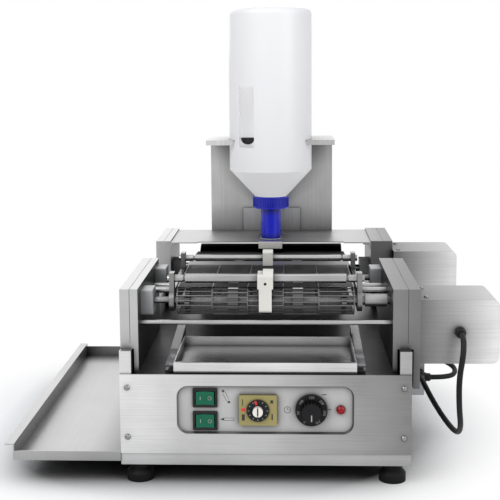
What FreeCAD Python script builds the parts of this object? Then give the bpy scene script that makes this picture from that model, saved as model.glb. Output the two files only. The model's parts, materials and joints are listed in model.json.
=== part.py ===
import FreeCAD, Part
import math
import os

import Sketcher
from FreeCAD import Placement, Rotation, Vector

# Electric crepe maker on a sheet-metal base: a heated drum under the batter bottle, a wire
# mesh belt that carries the crepe forward, two gearmotors on the right, trays and controls.
# x points right, y points back, z points up; y = 0 is the outer face of the front panel and
# x = 0 is the middle of the base until shift_x and shift_y centre the whole on its footprint.

DIMENSIONS = {
    # base and its panels
    "base_width": 360, "base_depth": 520, "foot_height": 25, "deck_height": 141, "rail_rise": 29,
    "rail_width": 14.5, "sheet": 1.5, "band_height": 15, "foot_radius": 17, "foot_neck_radius": 12,
    "foot_inset": 21, "foot_bolt_radius": 3, "panel_screw_inset": 9, "panel_screw_radius": 1.6,
    "panel_screw_head": 3.4, "panel_screw_spacing": 63, "panel_screw_middle": 92.5,
    "vent_width": 5, "vent_height": 50, "vent_pitch": 14, "vent_count": 12,
    # control window, centred on the front panel's width
    "window_width": 219, "window_height": 61, "window_middle": 96, "window_corner": 14, "window_recess": 2.5,
    "window_rim": 2, "window_slope": 25, "control_sheet": 1.5,
    "switch_x": 74.4, "switch_gap": 29.2, "switch_width": 30.4, "switch_tall": 23.9, "switch_bezel": 2,
    "switch_body_depth": 22, "rocker_width": 22.4, "rocker_tall": 16.6, "rocker_dip": 1.6, "rocker_rise": 6,
    "rocker_pin": 1.2, "rocker_gap": 0.3, "timer_x": 8.9, "timer_width": 46.8, "timer_tall": 38.4,
    "timer_front": 5, "timer_back": 42, "timer_ring_outer": 13.8, "timer_ring_depth": 1.6,
    "timer_knob_radius": 6.3, "timer_knob_length": 6, "timer_shaft": 2, "thermostat_x": 57,
    "dial_radius": 19.8, "dial_thick": 4, "grip_radius": 13, "grip_length": 12, "grip_flute": 1.6,
    "grip_flutes": 18, "thermostat_shaft": 3, "lamp_x": 93.3, "lamp_radius": 5.6, "lamp_rise": 5,
    # side frames, two shells each
    "frame_front_gap": 13.5, "frame_pitch": 365, "front_frame_depth": 216, "rear_frame_depth": 138,
    "frame_over": 23, "frame_inset": 22.5, "left_seam_inset": 12.2, "right_seam_inset": 3.7, "right_over": 11,
    "frame_wall": 1.5, "leg_width": 5.5, "outer_leg_width": 8, "outer_leg_drop": 50,
    # conveyor
    "drive_setback": 44, "idler_spacing": 146, "belt_rise": 81, "belt_width": 224,
    "belt_inner_radius": 16.8, "wire_thick": 1.2, "wire_gap": 0.4, "strand_count": 68,
    "wheel_gap": 0.3, "wheel_width": 13, "wheel_x": 41, "sprocket_width": 6, "sprocket_teeth": 12,
    "sprocket_tooth_depth": 2.2, "shaft_radius": 6, "journal_radius": 4, "running_gap": 0.05,
    "side_plate_x": 116, "side_plate_thick": 6, "side_plate_half_height": 14, "side_plate_tail": 28,
    "rod_rise": 28, "ear_width": 15, "ear_rise": 8, "front_rod_radius": 5.9, "rear_rod_radius": 4.5,
    "rod_neck": 14, "rod_collar_radius": 4.6, "rod_end_radius": 3, "block_thick": 15, "block_size": 32,
    "spacer_radius": 4, "tie_radius": 3, "tie_setback": 20, "tie_drop": 23, "strip_thick": 4,
    "support_bar_depth": 16, "support_bar_height": 8,
    "front_guide_width": 19.6, "rear_guide_width": 14, "guide_rise": 11, "guide_depth": 20,
    "finger_width": 16, "finger_thick": 4, "finger_drop": 11, "set_screw_radius": 1.8,
    "coupling_radius": 8, "coupling_length": 28,
    # pans and trays
    "pan_half_width": 113, "pan_height": 14, "pan_front": 3, "pan_length": 127, "pan_lip": 11, "pan_gap": 0.3,
    "rail_flange": 9, "rail_back_rise": 22, "rail_front_rise": 8, "rail_reach": 152, "rail_sheet": 2,
    "tray_reach": 145.7, "tray_flange": 10, "tray_floor": 30, "tray_side_top": 51, "tray_lip_top": 42,
    "tray_depth": 486, "tray_tongue": 12, "tray_tongue_width": 40, "tray_gap": 0.3,
    # rear unit
    "drum_radius": 40, "drum_wall": 4, "drum_half_width": 113, "drum_rise": 51, "drum_setback": 419,
    "drum_hub": 9, "heater_radius": 6, "plate_over": 11, "plate_half_width": 115, "plate_front": 385.5,
    "slot_length": 68, "slot_width": 38, "shoe_half_width": 18.5, "shoe_drop": 10, "shoe_front": 380,
    "shoe_socket": 4, "ledge_width": 12, "ledge_drop": 10, "bridge_gap": 2, "bridge_angle": 40,
    "bracket_rise": 159, "bracket_sheet": 2.5, "bracket_half_width": 101.5, "bracket_back": 511,
    "shelf_depth": 104, "bottle_y": 440, "bottle_radius": 65.9, "bottle_body": 254, "bottle_cone": 43,
    "bottle_neck_rise": 67, "bottle_neck_radius": 26, "bottle_wall": 2.5, "bottle_corner": 9, "bottle_gap": 0.7,
    "grip_x": 36.5, "grip_width": 24, "grip_rise": 38, "grip_length_up": 95, "grip_web": 3,
    "cap_height": 19.3, "cap_radius": 28.3, "cap_wall": 2, "spout_radius": 16, "spout_bore": 12,
    # gearmotors, covers and cables
    "cover_length": 97, "cover_depth": 88, "cover_height": 80, "cover_over": 10, "cover_corner": 9,
    "cover_sheet": 1.2, "gearbox_length": 30, "gearbox_width": 52, "gearbox_reach": 8.5, "motor_radius": 30,
    "motor_length": 56, "gear_offset": 30, "output_depth": 22,
    "gland_radius": 6.6, "gland_length": 12, "gland_thread": 4.5, "cord_radius": 3.5,
    "terminal_width": 34, "terminal_height": 50, "case_corner": 4, "terminal_drop": 73, "terminal_front": 150,
    "terminal_depth": 90, "inlet_width": 28, "inlet_height": 22, "inlet_depth": 9,
}

doc = FreeCAD.newDocument("CrepeMaker")
sheet = doc.addObject("Spreadsheet::Sheet", "Sizes")
for row, (name, number) in enumerate(DIMENSIONS.items(), start=1):
    sheet.set(f"A{row}", name)
    sheet.set(f"B{row}", str(number))
    sheet.setAlias(f"B{row}", name)
doc.recompute()


class Size:
    """A length or count that keeps its number beside the sheet formula it comes from."""

    def __init__(self, formula, value):
        self.formula = formula
        self.value = float(value)

    def __add__(self, other):
        other = size(other)
        return Size(f"({self.formula} + {other.formula})", self.value + other.value)

    def __sub__(self, other):
        other = size(other)
        return Size(f"({self.formula} - {other.formula})", self.value - other.value)

    def __mul__(self, other):
        other = size(other)
        return Size(f"({self.formula} * {other.formula})", self.value * other.value)

    def __truediv__(self, other):
        other = size(other)
        return Size(f"({self.formula} / {other.formula})", self.value / other.value)

    def __radd__(self, other):
        return size(other) + self

    def __rsub__(self, other):
        return size(other) - self

    def __rmul__(self, other):
        return size(other) * self

    def __neg__(self):
        return Size(f"(0 - {self.formula})", -self.value)


def size(amount):
    return amount if isinstance(amount, Size) else Size(repr(amount), amount)


def sine(angle):
    return Size(f"sin({angle.formula})", math.sin(math.radians(angle.value)))


def cosine(angle):
    return Size(f"cos({angle.formula})", math.cos(math.radians(angle.value)))


class Book:
    """The sheet's cells by name."""

    def __getattr__(self, name):
        return Size("Sizes." + name, DIMENSIONS[name])


d = Book()

# Places that several pieces share.
half_base = d.base_width / 2
frame_inner = half_base - d.frame_inset
left_seam = half_base - d.left_seam_inset
right_seam = half_base - d.right_seam_inset
right_outer = half_base + d.right_over
base_back = d.sheet + d.base_depth
deck_top = d.deck_height
rail_height = deck_top + d.rail_rise
belt_axis_height = deck_top + d.belt_rise
frame_top = belt_axis_height + d.frame_over
outer_leg_height = rail_height - d.outer_leg_drop
rod_height = belt_axis_height + d.rod_rise
tie_height = belt_axis_height - d.tie_drop
guide_top = rod_height + d.guide_rise
finger_bottom = belt_axis_height - d.finger_drop
rail_top_back = deck_top + d.rail_back_rise
rail_top_front = deck_top + d.rail_front_rise
drum_height = deck_top + d.drum_rise
plate_height = drum_height + d.drum_radius + d.plate_over
bracket_height = plate_height + d.bracket_rise
bottle_neck = plate_height + d.bottle_neck_rise
bottle_shoulder = bottle_neck + d.bottle_cone
bottle_top = bottle_shoulder + d.bottle_body
grip_low = bottle_shoulder + d.grip_rise
grip_high = grip_low + d.grip_length_up
cover_high = belt_axis_height + d.cover_over
cover_low = cover_high - d.cover_height
terminal_low = deck_top - d.terminal_drop
terminal_high = terminal_low + d.terminal_height
front_frame_y = d.frame_front_gap
rear_frame_y = d.frame_front_gap + d.frame_pitch
drive_y = front_frame_y + d.drive_setback
idler_y = drive_y + d.idler_spacing
control_y = d.sheet + d.window_recess
cover_end_x = right_outer + d.cover_length
drum_y = d.frame_front_gap + d.drum_setback
motor_rear_y = drum_y - d.gear_offset
front_cover_y = drive_y - d.cover_depth / 2
rear_cover_y = motor_rear_y - d.cover_depth / 2
bracket_face = d.bracket_back - d.bracket_sheet
front_gland_x = right_outer + d.cover_length * 0.5
rear_gland_x = right_outer + d.cover_length * 0.6
front_port = (half_base + d.terminal_width * 0.8, (terminal_high - terminal_low) / 2 + d.gland_radius)
side_port = (d.terminal_depth * 0.3, (terminal_high - terminal_low) / 2 - d.gland_radius)
dial_front = d.dial_thick + d.grip_length + 1 - control_y
shift_x = (half_base + d.tray_gap + d.tray_reach - cover_end_x) / 2
shift_y = (dial_front - base_back - d.inlet_depth) / 2

parts = []
planes = {}


def new_body(label):
    body = doc.addObject("PartDesign::Body", label)
    body.Label = label
    parts.append(body)
    return body


def bind(thing, prop, amount):
    amount = size(amount)
    thing.setExpression(prop, amount.formula)


def place(thing, x=0, y=0, z=0):
    """Put a piece's own origin at x, y, z of the machine."""
    spot = [size(x) + shift_x, size(y) + shift_y, size(z)]
    thing.Placement = Placement(Vector(*[c.value for c in spot]), thing.Placement.Rotation)
    for letter, amount in zip("xyz", spot):
        bind(thing, f"Placement.Base.{letter}", amount)


def origin_part(body, role):
    return next(part for part in body.Origin.OriginFeatures if part.Role == role)


def sketch_on(body, plane, offset=0):
    """A sketch on one of the body's planes, moved by offset along the world axis across it."""
    sketch = body.newObject("Sketcher::SketchObject", body.Label + "_outline")
    sketch.AttachmentSupport = [(origin_part(body, plane + "_Plane"), "")]
    sketch.MapMode = "FlatFace"
    along = -size(offset) if plane == "XZ" else size(offset)
    sketch.AttachmentOffset = Placement(Vector(0, 0, along.value), Rotation())
    bind(sketch, "AttachmentOffset.Base.z", along)
    planes[sketch.Name] = plane
    return sketch


def add_rules(sketch, rules):
    """Add constraints in one go; each rule is (kind, places..., size or None)."""
    start = sketch.ConstraintCount
    made = []
    for *rule, amount in rules:
        made.append(Sketcher.Constraint(*rule) if amount is None else Sketcher.Constraint(*rule, amount.value))
    sketch.addConstraint(made)
    for index, (*_, amount) in enumerate(rules, start=start):
        if amount is not None:
            bind(sketch, f"Constraints[{index}]", amount)


def at_point(geometry, end, point):
    return [("DistanceX", -1, 1, geometry, end, point[0]), ("DistanceY", -1, 1, geometry, end, point[1])]


def vector(point):
    return Vector(point[0].value, point[1].value, 0)


def toward(corner, neighbour, radius):
    """The point one radius from a square corner along its side to the neighbour."""
    step = vector(neighbour) - vector(corner)
    if abs(step.x) > abs(step.y):
        return (corner[0] + radius if step.x > 0 else corner[0] - radius, corner[1])
    return (corner[0], corner[1] + radius if step.y > 0 else corner[1] - radius)


def outline(sketch, corners):
    """A closed loop of straight sides; a square corner given as (x, y, radius) is rounded."""
    points = [(size(c[0]), size(c[1])) for c in corners]
    count = len(points)
    enters, leaves, rounds = [], [], []
    for i, corner in enumerate(corners):
        radius = size(corner[2]) if len(corner) == 3 else None
        rounds.append(radius)
        enters.append(toward(points[i], points[i - 1], radius) if radius else points[i])
        leaves.append(toward(points[i], points[(i + 1) % count], radius) if radius else points[i])
    first = sketch.GeometryCount
    lines = [Part.LineSegment(vector(leaves[i]), vector(enters[(i + 1) % count])) for i in range(count)]
    sketch.addGeometry(lines, False)
    rules = []
    for i in range(count):
        rules += at_point(first + i, 1, leaves[i])
        if rounds[i] is None:
            rules.append(("Coincident", first + (i - 1) % count, 2, first + i, 1, None))
            continue
        a, b, c = vector(enters[i]), vector(leaves[i]), vector(points[i])
        middle = a + b - c
        left = (c - a).cross(b - c).z > 0
        start, end = (a, b) if left else (b, a)
        angles = [math.atan2(p.y - middle.y, p.x - middle.x) for p in (start, end)]
        circle = Part.Circle(middle, Vector(0, 0, 1), rounds[i].value)
        arc = sketch.addGeometry(Part.ArcOfCircle(circle, *angles), False)
        rules += at_point(first + (i - 1) % count, 2, enters[i])
        rules.append(("Coincident", first + (i - 1) % count, 2, arc, 1 if left else 2, None))
        rules.append(("Coincident", first + i, 1, arc, 2 if left else 1, None))
        rules.append(("Radius", arc, rounds[i]))
    add_rules(sketch, rules)


def rectangle(sketch, left, low, right, high, corner=None):
    spots = [(left, low), (right, low), (right, high), (left, high)]
    outline(sketch, [spot + (corner,) for spot in spots] if corner is not None else spots)


def circle(sketch, x, y, radius):
    x, y, radius = size(x), size(y), size(radius)
    ring = sketch.addGeometry(Part.Circle(Vector(x.value, y.value, 0), Vector(0, 0, 1), radius.value), False)
    add_rules(sketch, at_point(ring, 3, (x, y)) + [("Radius", ring, radius)])


def stadium(sketch, first, last, radius):
    """A slot between the centres of its two round ends, level or upright."""
    first, last = [tuple(size(n) for n in point) for point in (first, last)]
    radius = size(radius)
    along = vector(last) - vector(first)
    turn = math.atan2(along.y, along.x)
    side = Vector(-math.sin(turn), math.cos(turn), 0) * radius.value
    ends = []
    for point, begin in ((last, turn - math.pi / 2), (first, turn + math.pi / 2)):
        ring = Part.Circle(vector(point), Vector(0, 0, 1), radius.value)
        ends.append(sketch.addGeometry(Part.ArcOfCircle(ring, begin, begin + math.pi), False))
    a, b = vector(first), vector(last)
    low = sketch.addGeometry(Part.LineSegment(a - side, b - side), False)
    top = sketch.addGeometry(Part.LineSegment(b + side, a + side), False)
    joins = [(low, 2, ends[0], 1), (ends[0], 2, top, 1), (top, 2, ends[1], 1), (ends[1], 2, low, 1)]
    rules = [("Tangent", *join, None) for join in joins]
    rules += at_point(ends[0], 3, last) + at_point(ends[1], 3, first)
    add_rules(sketch, rules + [("Radius", ends[0], radius)])


def pad(body, sketch, length, forward=True):
    """Thicken a sketch along the world axis across it, forward or back."""
    feature = body.newObject("PartDesign::Pad", body.Label + "_pad")
    feature.Profile = sketch
    feature.Length = size(length).value
    bind(feature, "Length", length)
    feature.Reversed = forward == (planes[sketch.Name] == "XZ")
    doc.recompute()
    return feature


def pocket(body, sketch, depth, forward=True, taper=None):
    """Cut a sketch into the body along the world axis across it; a cut that misses is refused."""
    before = body.Shape.Volume
    feature = body.newObject("PartDesign::Pocket", body.Label + "_cut")
    feature.Profile = sketch
    feature.Length = size(depth).value
    bind(feature, "Length", depth)
    feature.Reversed = forward != (planes[sketch.Name] == "XZ")
    if taper is not None:
        feature.TaperAngle = taper.value
        bind(feature, "TaperAngle", taper)
    doc.recompute()
    if not feature.Shape.isValid() or body.Shape.Volume > before - 1e-3:
        raise ValueError("no cut in " + body.Label)
    return feature


def turned(body, corners, axis="X"):
    """Spin a half outline, given as (along, radius) corners, round the body's own axis."""
    sketch = sketch_on(body, "XZ")
    outline(sketch, corners if axis == "X" else [(c[1], c[0]) + tuple(c[2:]) for c in corners])
    feature = body.newObject("PartDesign::Revolution", body.Label + "_turn")
    feature.Profile = sketch
    feature.ReferenceAxis = (origin_part(body, axis + "_Axis"), [""])
    feature.Angle = 360
    doc.recompute()
    return feature


def round_edges(body, radius, chosen):
    """Fillet the edges whose middle the test picks."""
    tip = body.Tip
    names = [f"Edge{i}" for i, edge in enumerate(tip.Shape.Edges, start=1)
             if chosen(edge.CenterOfMass, edge)]
    feature = body.newObject("PartDesign::Fillet", body.Label + "_round")
    feature.Base = (tip, names)
    feature.Radius = size(radius).value
    bind(feature, "Radius", radius)
    doc.recompute()
    return feature


def group(label, solids):
    """One node that holds several like pieces, from the shapes of hidden bodies placed already."""
    compound = doc.addObject("Part::Compound", label)
    compound.Label = label
    for solid in solids:
        parts.remove(solid)
    compound.Links = solids
    parts.append(compound)
    return compound


def base_shell():
    """Folded pan with box rails along both sides, corner posts and a rear wall."""
    body = new_body("base_shell")
    rail_in = half_base - d.rail_width
    low, high, lip = d.foot_height, rail_height, deck_top - d.sheet
    half = [(half_base, low), (half_base, high), (rail_in, high), (rail_in, lip),
            (rail_in + d.sheet, lip), (rail_in + d.sheet, high - d.sheet),
            (half_base - d.sheet, high - d.sheet), (half_base - d.sheet, low + d.sheet)]
    section = sketch_on(body, "XZ", d.sheet)
    outline(section, half + [(-x, z) for x, z in reversed(half)])
    pad(body, section, d.base_depth)
    post = [(half_base, low), (half_base, high), (rail_in, high), (rail_in, low + d.band_height)]
    front = sketch_on(body, "XZ", d.sheet)
    outline(front, post + [(-x, z) for x, z in reversed(post)])
    pad(body, front, d.sheet)
    rear = sketch_on(body, "XZ", base_back - d.sheet)
    corner = [(half_base, low), (half_base, high), (rail_in, high), (rail_in, deck_top)]
    outline(rear, corner + [(-x, z) for x, z in reversed(corner)])
    pad(body, rear, d.sheet)
    vent = sketch_on(body, "XZ", base_back - d.sheet)
    first = -d.vent_pitch * (d.vent_count - 1) / 2
    bottom = (d.foot_height + deck_top - d.vent_height) / 2
    rectangle(vent, first - d.vent_width / 2, bottom, first + d.vent_width / 2, bottom + d.vent_height)
    slot = pocket(body, vent, d.sheet)
    row_of_vents = body.newObject("PartDesign::LinearPattern", "vents")
    row_of_vents.Originals = [slot]
    row_of_vents.Direction = (origin_part(body, "X_Axis"), [""])
    row_of_vents.Length = (d.vent_pitch * (d.vent_count - 1)).value
    bind(row_of_vents, "Length", d.vent_pitch * (d.vent_count - 1))
    row_of_vents.Occurrences = int(d.vent_count.value)
    bind(row_of_vents, "Occurrences", d.vent_count)
    body.Tip = row_of_vents
    doc.recompute()
    holes = sketch_on(body, "XY", d.foot_height)
    for x, y in foot_places():
        circle(holes, x, y, d.foot_bolt_radius)
    pocket(body, holes, d.sheet)
    screws = sketch_on(body, "XZ", d.sheet)
    for x, z in screw_places():
        circle(screws, x, z, d.panel_screw_radius)
    pocket(body, screws, d.sheet)
    tongue_slots = sketch_on(body, "YZ", -half_base)
    for low_y in tongue_places():
        rectangle(tongue_slots, low_y - d.tray_gap, d.tray_floor - d.tray_gap,
                  low_y + d.tray_tongue_width + d.tray_gap, d.tray_floor + d.sheet + d.tray_gap)
    pocket(body, tongue_slots, d.sheet)
    place(body)


def foot_places():
    near, far = d.sheet + d.foot_inset, base_back - d.foot_inset
    side = half_base - d.foot_inset
    return [(x, y) for x in (-side, side) for y in (near, far)]


def screw_places():
    x = half_base - d.panel_screw_inset
    half = d.panel_screw_spacing / 2
    return [(side, d.panel_screw_middle + up * half) for side in (-x, x) for up in (-1, 1)]


def tongue_places():
    quarter = d.tray_depth / 4
    return [quarter - d.tray_tongue_width / 2, quarter * 3 - d.tray_tongue_width / 2]


def front_panel():
    """Screwed front sheet with a dished window for the controls."""
    body = new_body("front_panel")
    sheet_outline = sketch_on(body, "XZ")
    rectangle(sheet_outline, -half_base, d.foot_height + d.band_height, half_base, deck_top)
    for x, z in screw_places():
        circle(sheet_outline, x, z, d.panel_screw_radius)
    pad(body, sheet_outline, d.sheet)
    dish = sketch_on(body, "XZ", d.sheet)
    window_outline(dish, d.window_rim)
    pad(body, dish, d.window_recess)
    opening = sketch_on(body, "XZ")
    window_outline(opening, 0)
    pocket(body, opening, control_y, taper=-d.window_slope)
    place(body)


def window_outline(sketch, extra):
    half = d.window_width / 2 + extra
    tall = d.window_height / 2 + extra
    rectangle(sketch, -half, d.window_middle - tall, half, d.window_middle + tall, d.window_corner)


def switch_places():
    return [("conveyor", d.window_middle + d.switch_gap / 2), ("dosing", d.window_middle - d.switch_gap / 2)]


def control_plate():
    """Flat plate behind the window with a hole for each control."""
    body = new_body("control_plate")
    face = sketch_on(body, "XZ", control_y)
    window_outline(face, d.window_rim)
    for _, z in switch_places():
        wide, tall = d.switch_width / 2 - d.switch_bezel, d.switch_tall / 2 - d.switch_bezel
        rectangle(face, -d.switch_x - wide, z - tall, -d.switch_x + wide, z + tall)
    wide, tall = d.timer_width / 2 - d.timer_front / 2, d.timer_tall / 2 - d.timer_front / 2
    rectangle(face, -d.timer_x - wide, d.window_middle - tall, -d.timer_x + wide, d.window_middle + tall)
    circle(face, d.thermostat_x, d.window_middle, d.thermostat_shaft * 2)
    circle(face, d.lamp_x, d.window_middle, d.lamp_radius - 1)
    pad(body, face, d.control_sheet)
    place(body)


def deck_plate():
    """Top of the base between the rails."""
    body = new_body("deck_plate")
    top = sketch_on(body, "XY", deck_top - d.sheet)
    side = half_base - d.rail_width
    rectangle(top, -side, d.sheet, side, base_back - d.sheet)
    pad(body, top, d.sheet)
    place(body)


def feet():
    """Rubber feet, each a flared pad under a neck, bored for its bolt."""
    made, bolts = [], []
    for number, (x, y) in enumerate(foot_places(), start=1):
        foot = new_body(f"foot_{number}")
        bore, flare = d.foot_bolt_radius, d.foot_height * 0.4
        turned(foot, [(0, bore), (0, d.foot_radius), (flare, d.foot_radius),
                      (flare * 1.6, d.foot_neck_radius), (d.foot_height, d.foot_neck_radius),
                      (d.foot_height, bore)], axis="Z")
        place(foot, x, y)
        made.append(foot)
        bolt = new_body(f"foot_bolt_{number}")
        top = d.foot_height + d.sheet
        shank = bore - d.running_gap
        turned(bolt, [(flare, 0), (flare, shank), (top, shank), (top, bore * 2), (top + bore, bore * 2),
                      (top + bore, 0)], axis="Z")
        place(bolt, x, y)
        bolts.append(bolt)
    group("feet", made)
    group("foot_bolts", bolts)


def panel_screws():
    """Four pan-head screws through the front panel into the corner posts."""
    made = []
    for number, (x, z) in enumerate(screw_places(), start=1):
        screw = new_body(f"panel_screw_{number}")
        sketch = sketch_on(screw, "YZ")
        shank = d.panel_screw_radius - d.running_gap
        head = d.panel_screw_head
        outline(sketch, [(-head * 0.6, 0), (-head * 0.6, head * 0.7), (-head * 0.3, head), (0, head),
                         (0, shank), (d.sheet * 5, shank), (d.sheet * 5, 0)])
        spin = screw.newObject("PartDesign::Revolution", screw.Label + "_turn")
        spin.Profile = sketch
        spin.ReferenceAxis = (origin_part(screw, "Y_Axis"), [""])
        spin.Angle = 360
        doc.recompute()
        place(screw, x, 0, z)
        made.append(screw)
    return made


def switches():
    """Rocker switches: a snap-in housing with a well, and a dished rocker on its pins."""
    front = control_y - d.switch_bezel
    pivot_y = front + d.rocker_rise - d.rocker_dip
    well_depth = pivot_y + d.rocker_rise - front
    well_wide = d.rocker_width / 2 + d.rocker_gap * 4
    well_tall = d.rocker_tall / 2 + d.rocker_gap
    housings = []
    for name, z in switch_places():
        housing = new_body(name + "_housing")
        bezel = sketch_on(housing, "XZ", front)
        rectangle(bezel, -d.switch_width / 2, -d.switch_tall / 2, d.switch_width / 2, d.switch_tall / 2, 1)
        pad(housing, bezel, d.switch_bezel)
        block = sketch_on(housing, "XZ", control_y)
        wide, tall = d.switch_width / 2 - d.switch_bezel, d.switch_tall / 2 - d.switch_bezel
        rectangle(block, -wide, -tall, wide, tall)
        pad(housing, block, d.switch_body_depth)
        well = sketch_on(housing, "XZ", front)
        rectangle(well, -well_wide, -well_tall, well_wide, well_tall)
        pocket(housing, well, well_depth)
        pin_hole = sketch_on(housing, "XY", -well_tall - d.rocker_pin)
        circle(pin_hole, 0, pivot_y, d.rocker_pin + d.running_gap)
        pocket(housing, pin_hole, (well_tall + d.rocker_pin) * 2)
        place(housing, -d.switch_x, 0, z)

        rocker = new_body(name + "_switch_rocker")
        side = sketch_on(rocker, "XY", -d.rocker_tall / 2)
        half, rise, dip = d.rocker_width / 2, d.rocker_rise, d.rocker_dip
        outline(side, [(-half, -rise), (0, dip - rise), (half, -rise), (half, -dip), (half / 3, rise / 2),
                       (-half / 3, rise / 2), (-half, -dip)])
        pad(rocker, side, d.rocker_tall)
        pin = sketch_on(rocker, "XY", -d.rocker_tall / 2 - d.rocker_pin)
        circle(pin, 0, 0, d.rocker_pin)
        pad(rocker, pin, d.rocker_tall + d.rocker_pin * 2)
        place(rocker, -d.switch_x, pivot_y, z)
        housings.append(housing)
    group("switch_housings", housings)


def timer():
    """Plug-in timer: a square front, a scale ring and a small knob on a spindle."""
    front = control_y - d.timer_front
    housing = new_body("timer_housing")
    face = sketch_on(housing, "XZ", front)
    rectangle(face, -d.timer_width / 2, -d.timer_tall / 2, d.timer_width / 2, d.timer_tall / 2, 1.5)
    pad(housing, face, d.timer_front)
    inset = d.timer_front / 2
    box = sketch_on(housing, "XZ", control_y)
    rectangle(box, -d.timer_width / 2 + inset, -d.timer_tall / 2 + inset,
              d.timer_width / 2 - inset, d.timer_tall / 2 - inset)
    pad(housing, box, d.timer_back)
    bore = sketch_on(housing, "XZ", front)
    circle(bore, 0, 0, d.timer_shaft + d.running_gap)
    pocket(housing, bore, d.timer_back / 2)
    place(housing, -d.timer_x, 0, d.window_middle)

    ring = new_body("timer_scale_ring")
    disc = sketch_on(ring, "XZ", front - d.timer_ring_depth)
    circle(disc, 0, 0, d.timer_ring_outer)
    circle(disc, 0, 0, d.timer_shaft + d.running_gap)
    pad(ring, disc, d.timer_ring_depth)
    place(ring, -d.timer_x, 0, d.window_middle)

    knob = new_body("timer_knob")
    cap_y = front - d.timer_ring_depth - d.rocker_gap - d.timer_knob_length
    cap = sketch_on(knob, "XZ", cap_y)
    circle(cap, 0, 0, d.timer_knob_radius)
    pad(knob, cap, d.timer_knob_length)
    spindle = sketch_on(knob, "XZ", cap_y)
    circle(spindle, 0, 0, d.timer_shaft)
    pad(knob, spindle, front - cap_y + d.timer_back / 2 - 1)
    bar = sketch_on(knob, "XZ", cap_y)
    slit = d.timer_knob_radius * 0.14
    rectangle(bar, -slit, -d.timer_knob_radius, slit, d.timer_knob_radius)
    pocket(knob, bar, slit)
    place(knob, -d.timer_x, 0, d.window_middle)


def thermostat():
    """Dial knob with a fluted grip on the spindle of the thermostat behind the plate."""
    back = control_y + d.control_sheet
    casing = new_body("thermostat_body")
    block = sketch_on(casing, "XZ", back)
    half = d.dial_radius * 0.85
    rectangle(block, -half, -half, half, half, d.case_corner)
    pad(casing, block, half * 1.4)
    bore = sketch_on(casing, "XZ", back)
    circle(bore, 0, 0, d.thermostat_shaft + d.running_gap)
    pocket(casing, bore, half)
    place(casing, d.thermostat_x, 0, d.window_middle)

    knob = new_body("thermostat_knob")
    back_face = control_y - 1
    skirt = sketch_on(knob, "XZ", back_face - d.dial_thick)
    circle(skirt, 0, 0, d.dial_radius)
    pad(knob, skirt, d.dial_thick)
    grip = sketch_on(knob, "XZ", back_face - d.dial_thick - d.grip_length)
    circle(grip, 0, 0, d.grip_radius)
    pad(knob, grip, d.grip_length)
    flute = sketch_on(knob, "XZ", back_face - d.dial_thick - d.grip_length)
    circle(flute, d.grip_radius, 0, d.grip_flute)
    cut = pocket(knob, flute, d.grip_length - d.grip_flute)
    flutes = knob.newObject("PartDesign::PolarPattern", "grip_flutes")
    flutes.Originals = [cut]
    flutes.Axis = (origin_part(knob, "Y_Axis"), [""])
    flutes.Angle = 360
    flutes.Occurrences = int(d.grip_flutes.value)
    bind(flutes, "Occurrences", d.grip_flutes)
    knob.Tip = flutes
    doc.recompute()
    spindle = sketch_on(knob, "XZ", back_face)
    circle(spindle, 0, 0, d.thermostat_shaft)
    pad(knob, spindle, back - back_face + half - 1)
    place(knob, d.thermostat_x, 0, d.window_middle)


def pilot_lamp():
    """Domed lens on a threaded body."""
    lamp = new_body("pilot_lamp")
    sketch = sketch_on(lamp, "YZ")
    low, rise, radius = control_y, d.lamp_rise, d.lamp_radius
    outline(sketch, [(low - rise, 0), (low - rise, radius * 0.55), (low - rise * 0.7, radius * 0.85),
                     (low - rise * 0.3, radius), (low, radius), (low, radius - 1), (low + rise * 4, radius - 1),
                     (low + rise * 4, 0)])
    spin = lamp.newObject("PartDesign::Revolution", "pilot_lamp_turn")
    spin.Profile = sketch
    spin.ReferenceAxis = (origin_part(lamp, "Y_Axis"), [""])
    spin.Angle = 360
    doc.recompute()
    place(lamp, d.lamp_x, 0, d.window_middle)


def side_frames():
    """Four uprights on the base rails, each an inner and an outer hollow shell."""
    for row, y, depth in (("front", front_frame_y, d.front_frame_depth), ("rear", rear_frame_y, d.rear_frame_depth)):
        for name, side, seam, outer in (("left", -1, left_seam, half_base), ("right", 1, right_seam, right_outer)):
            inner = frame_inner
            leg = inner + d.leg_width
            shell = new_body(f"{row}_{name}_inner_shell")
            frame_shell(shell, side, depth, inner, seam,
                        [(inner, deck_top), (leg, deck_top), (leg, rail_height), (seam, rail_height),
                         (seam, frame_top), (inner, frame_top)])
            skin = new_body(f"{row}_{name}_outer_shell")
            foot = [(outer, rail_height)]
            if side > 0:
                shoulder = outer - d.outer_leg_width
                foot = [(shoulder, rail_height), (shoulder, outer_leg_height), (outer, outer_leg_height)]
            frame_shell(skin, side, depth, outer, seam,
                        [(seam, rail_height)] + foot + [(outer, frame_top), (seam, frame_top)])
            if side > 0:
                spot = (drive_y - y, belt_axis_height) if row == "front" else (drum_y - y, drum_height)
                for wall, x in ((shell, inner), (skin, outer - d.frame_wall)):
                    bore = sketch_on(wall, "YZ", x)
                    circle(bore, *spot, d.shaft_radius * 1.25)
                    pocket(wall, bore, d.frame_wall)
            place(shell, 0, y)
            place(skin, 0, y)
            group(f"{row}_{name}_frame", [shell, skin])


def frame_shell(body, side, depth, face, seam, corners):
    """Extrude a frame section and hollow it from the seam side down to its face wall."""
    section = sketch_on(body, "XZ")
    outline(section, [(side * x, z) for x, z in corners])
    pad(body, section, depth)
    wall = d.frame_wall
    hollow = sketch_on(body, "YZ", side * seam)
    rectangle(hollow, wall, rail_height + wall, depth - wall, frame_top - wall)
    outward = face.value > seam.value
    reach = face - seam - wall if outward else seam - face - wall
    pocket(body, hollow, reach, forward=outward == (side > 0))


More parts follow.
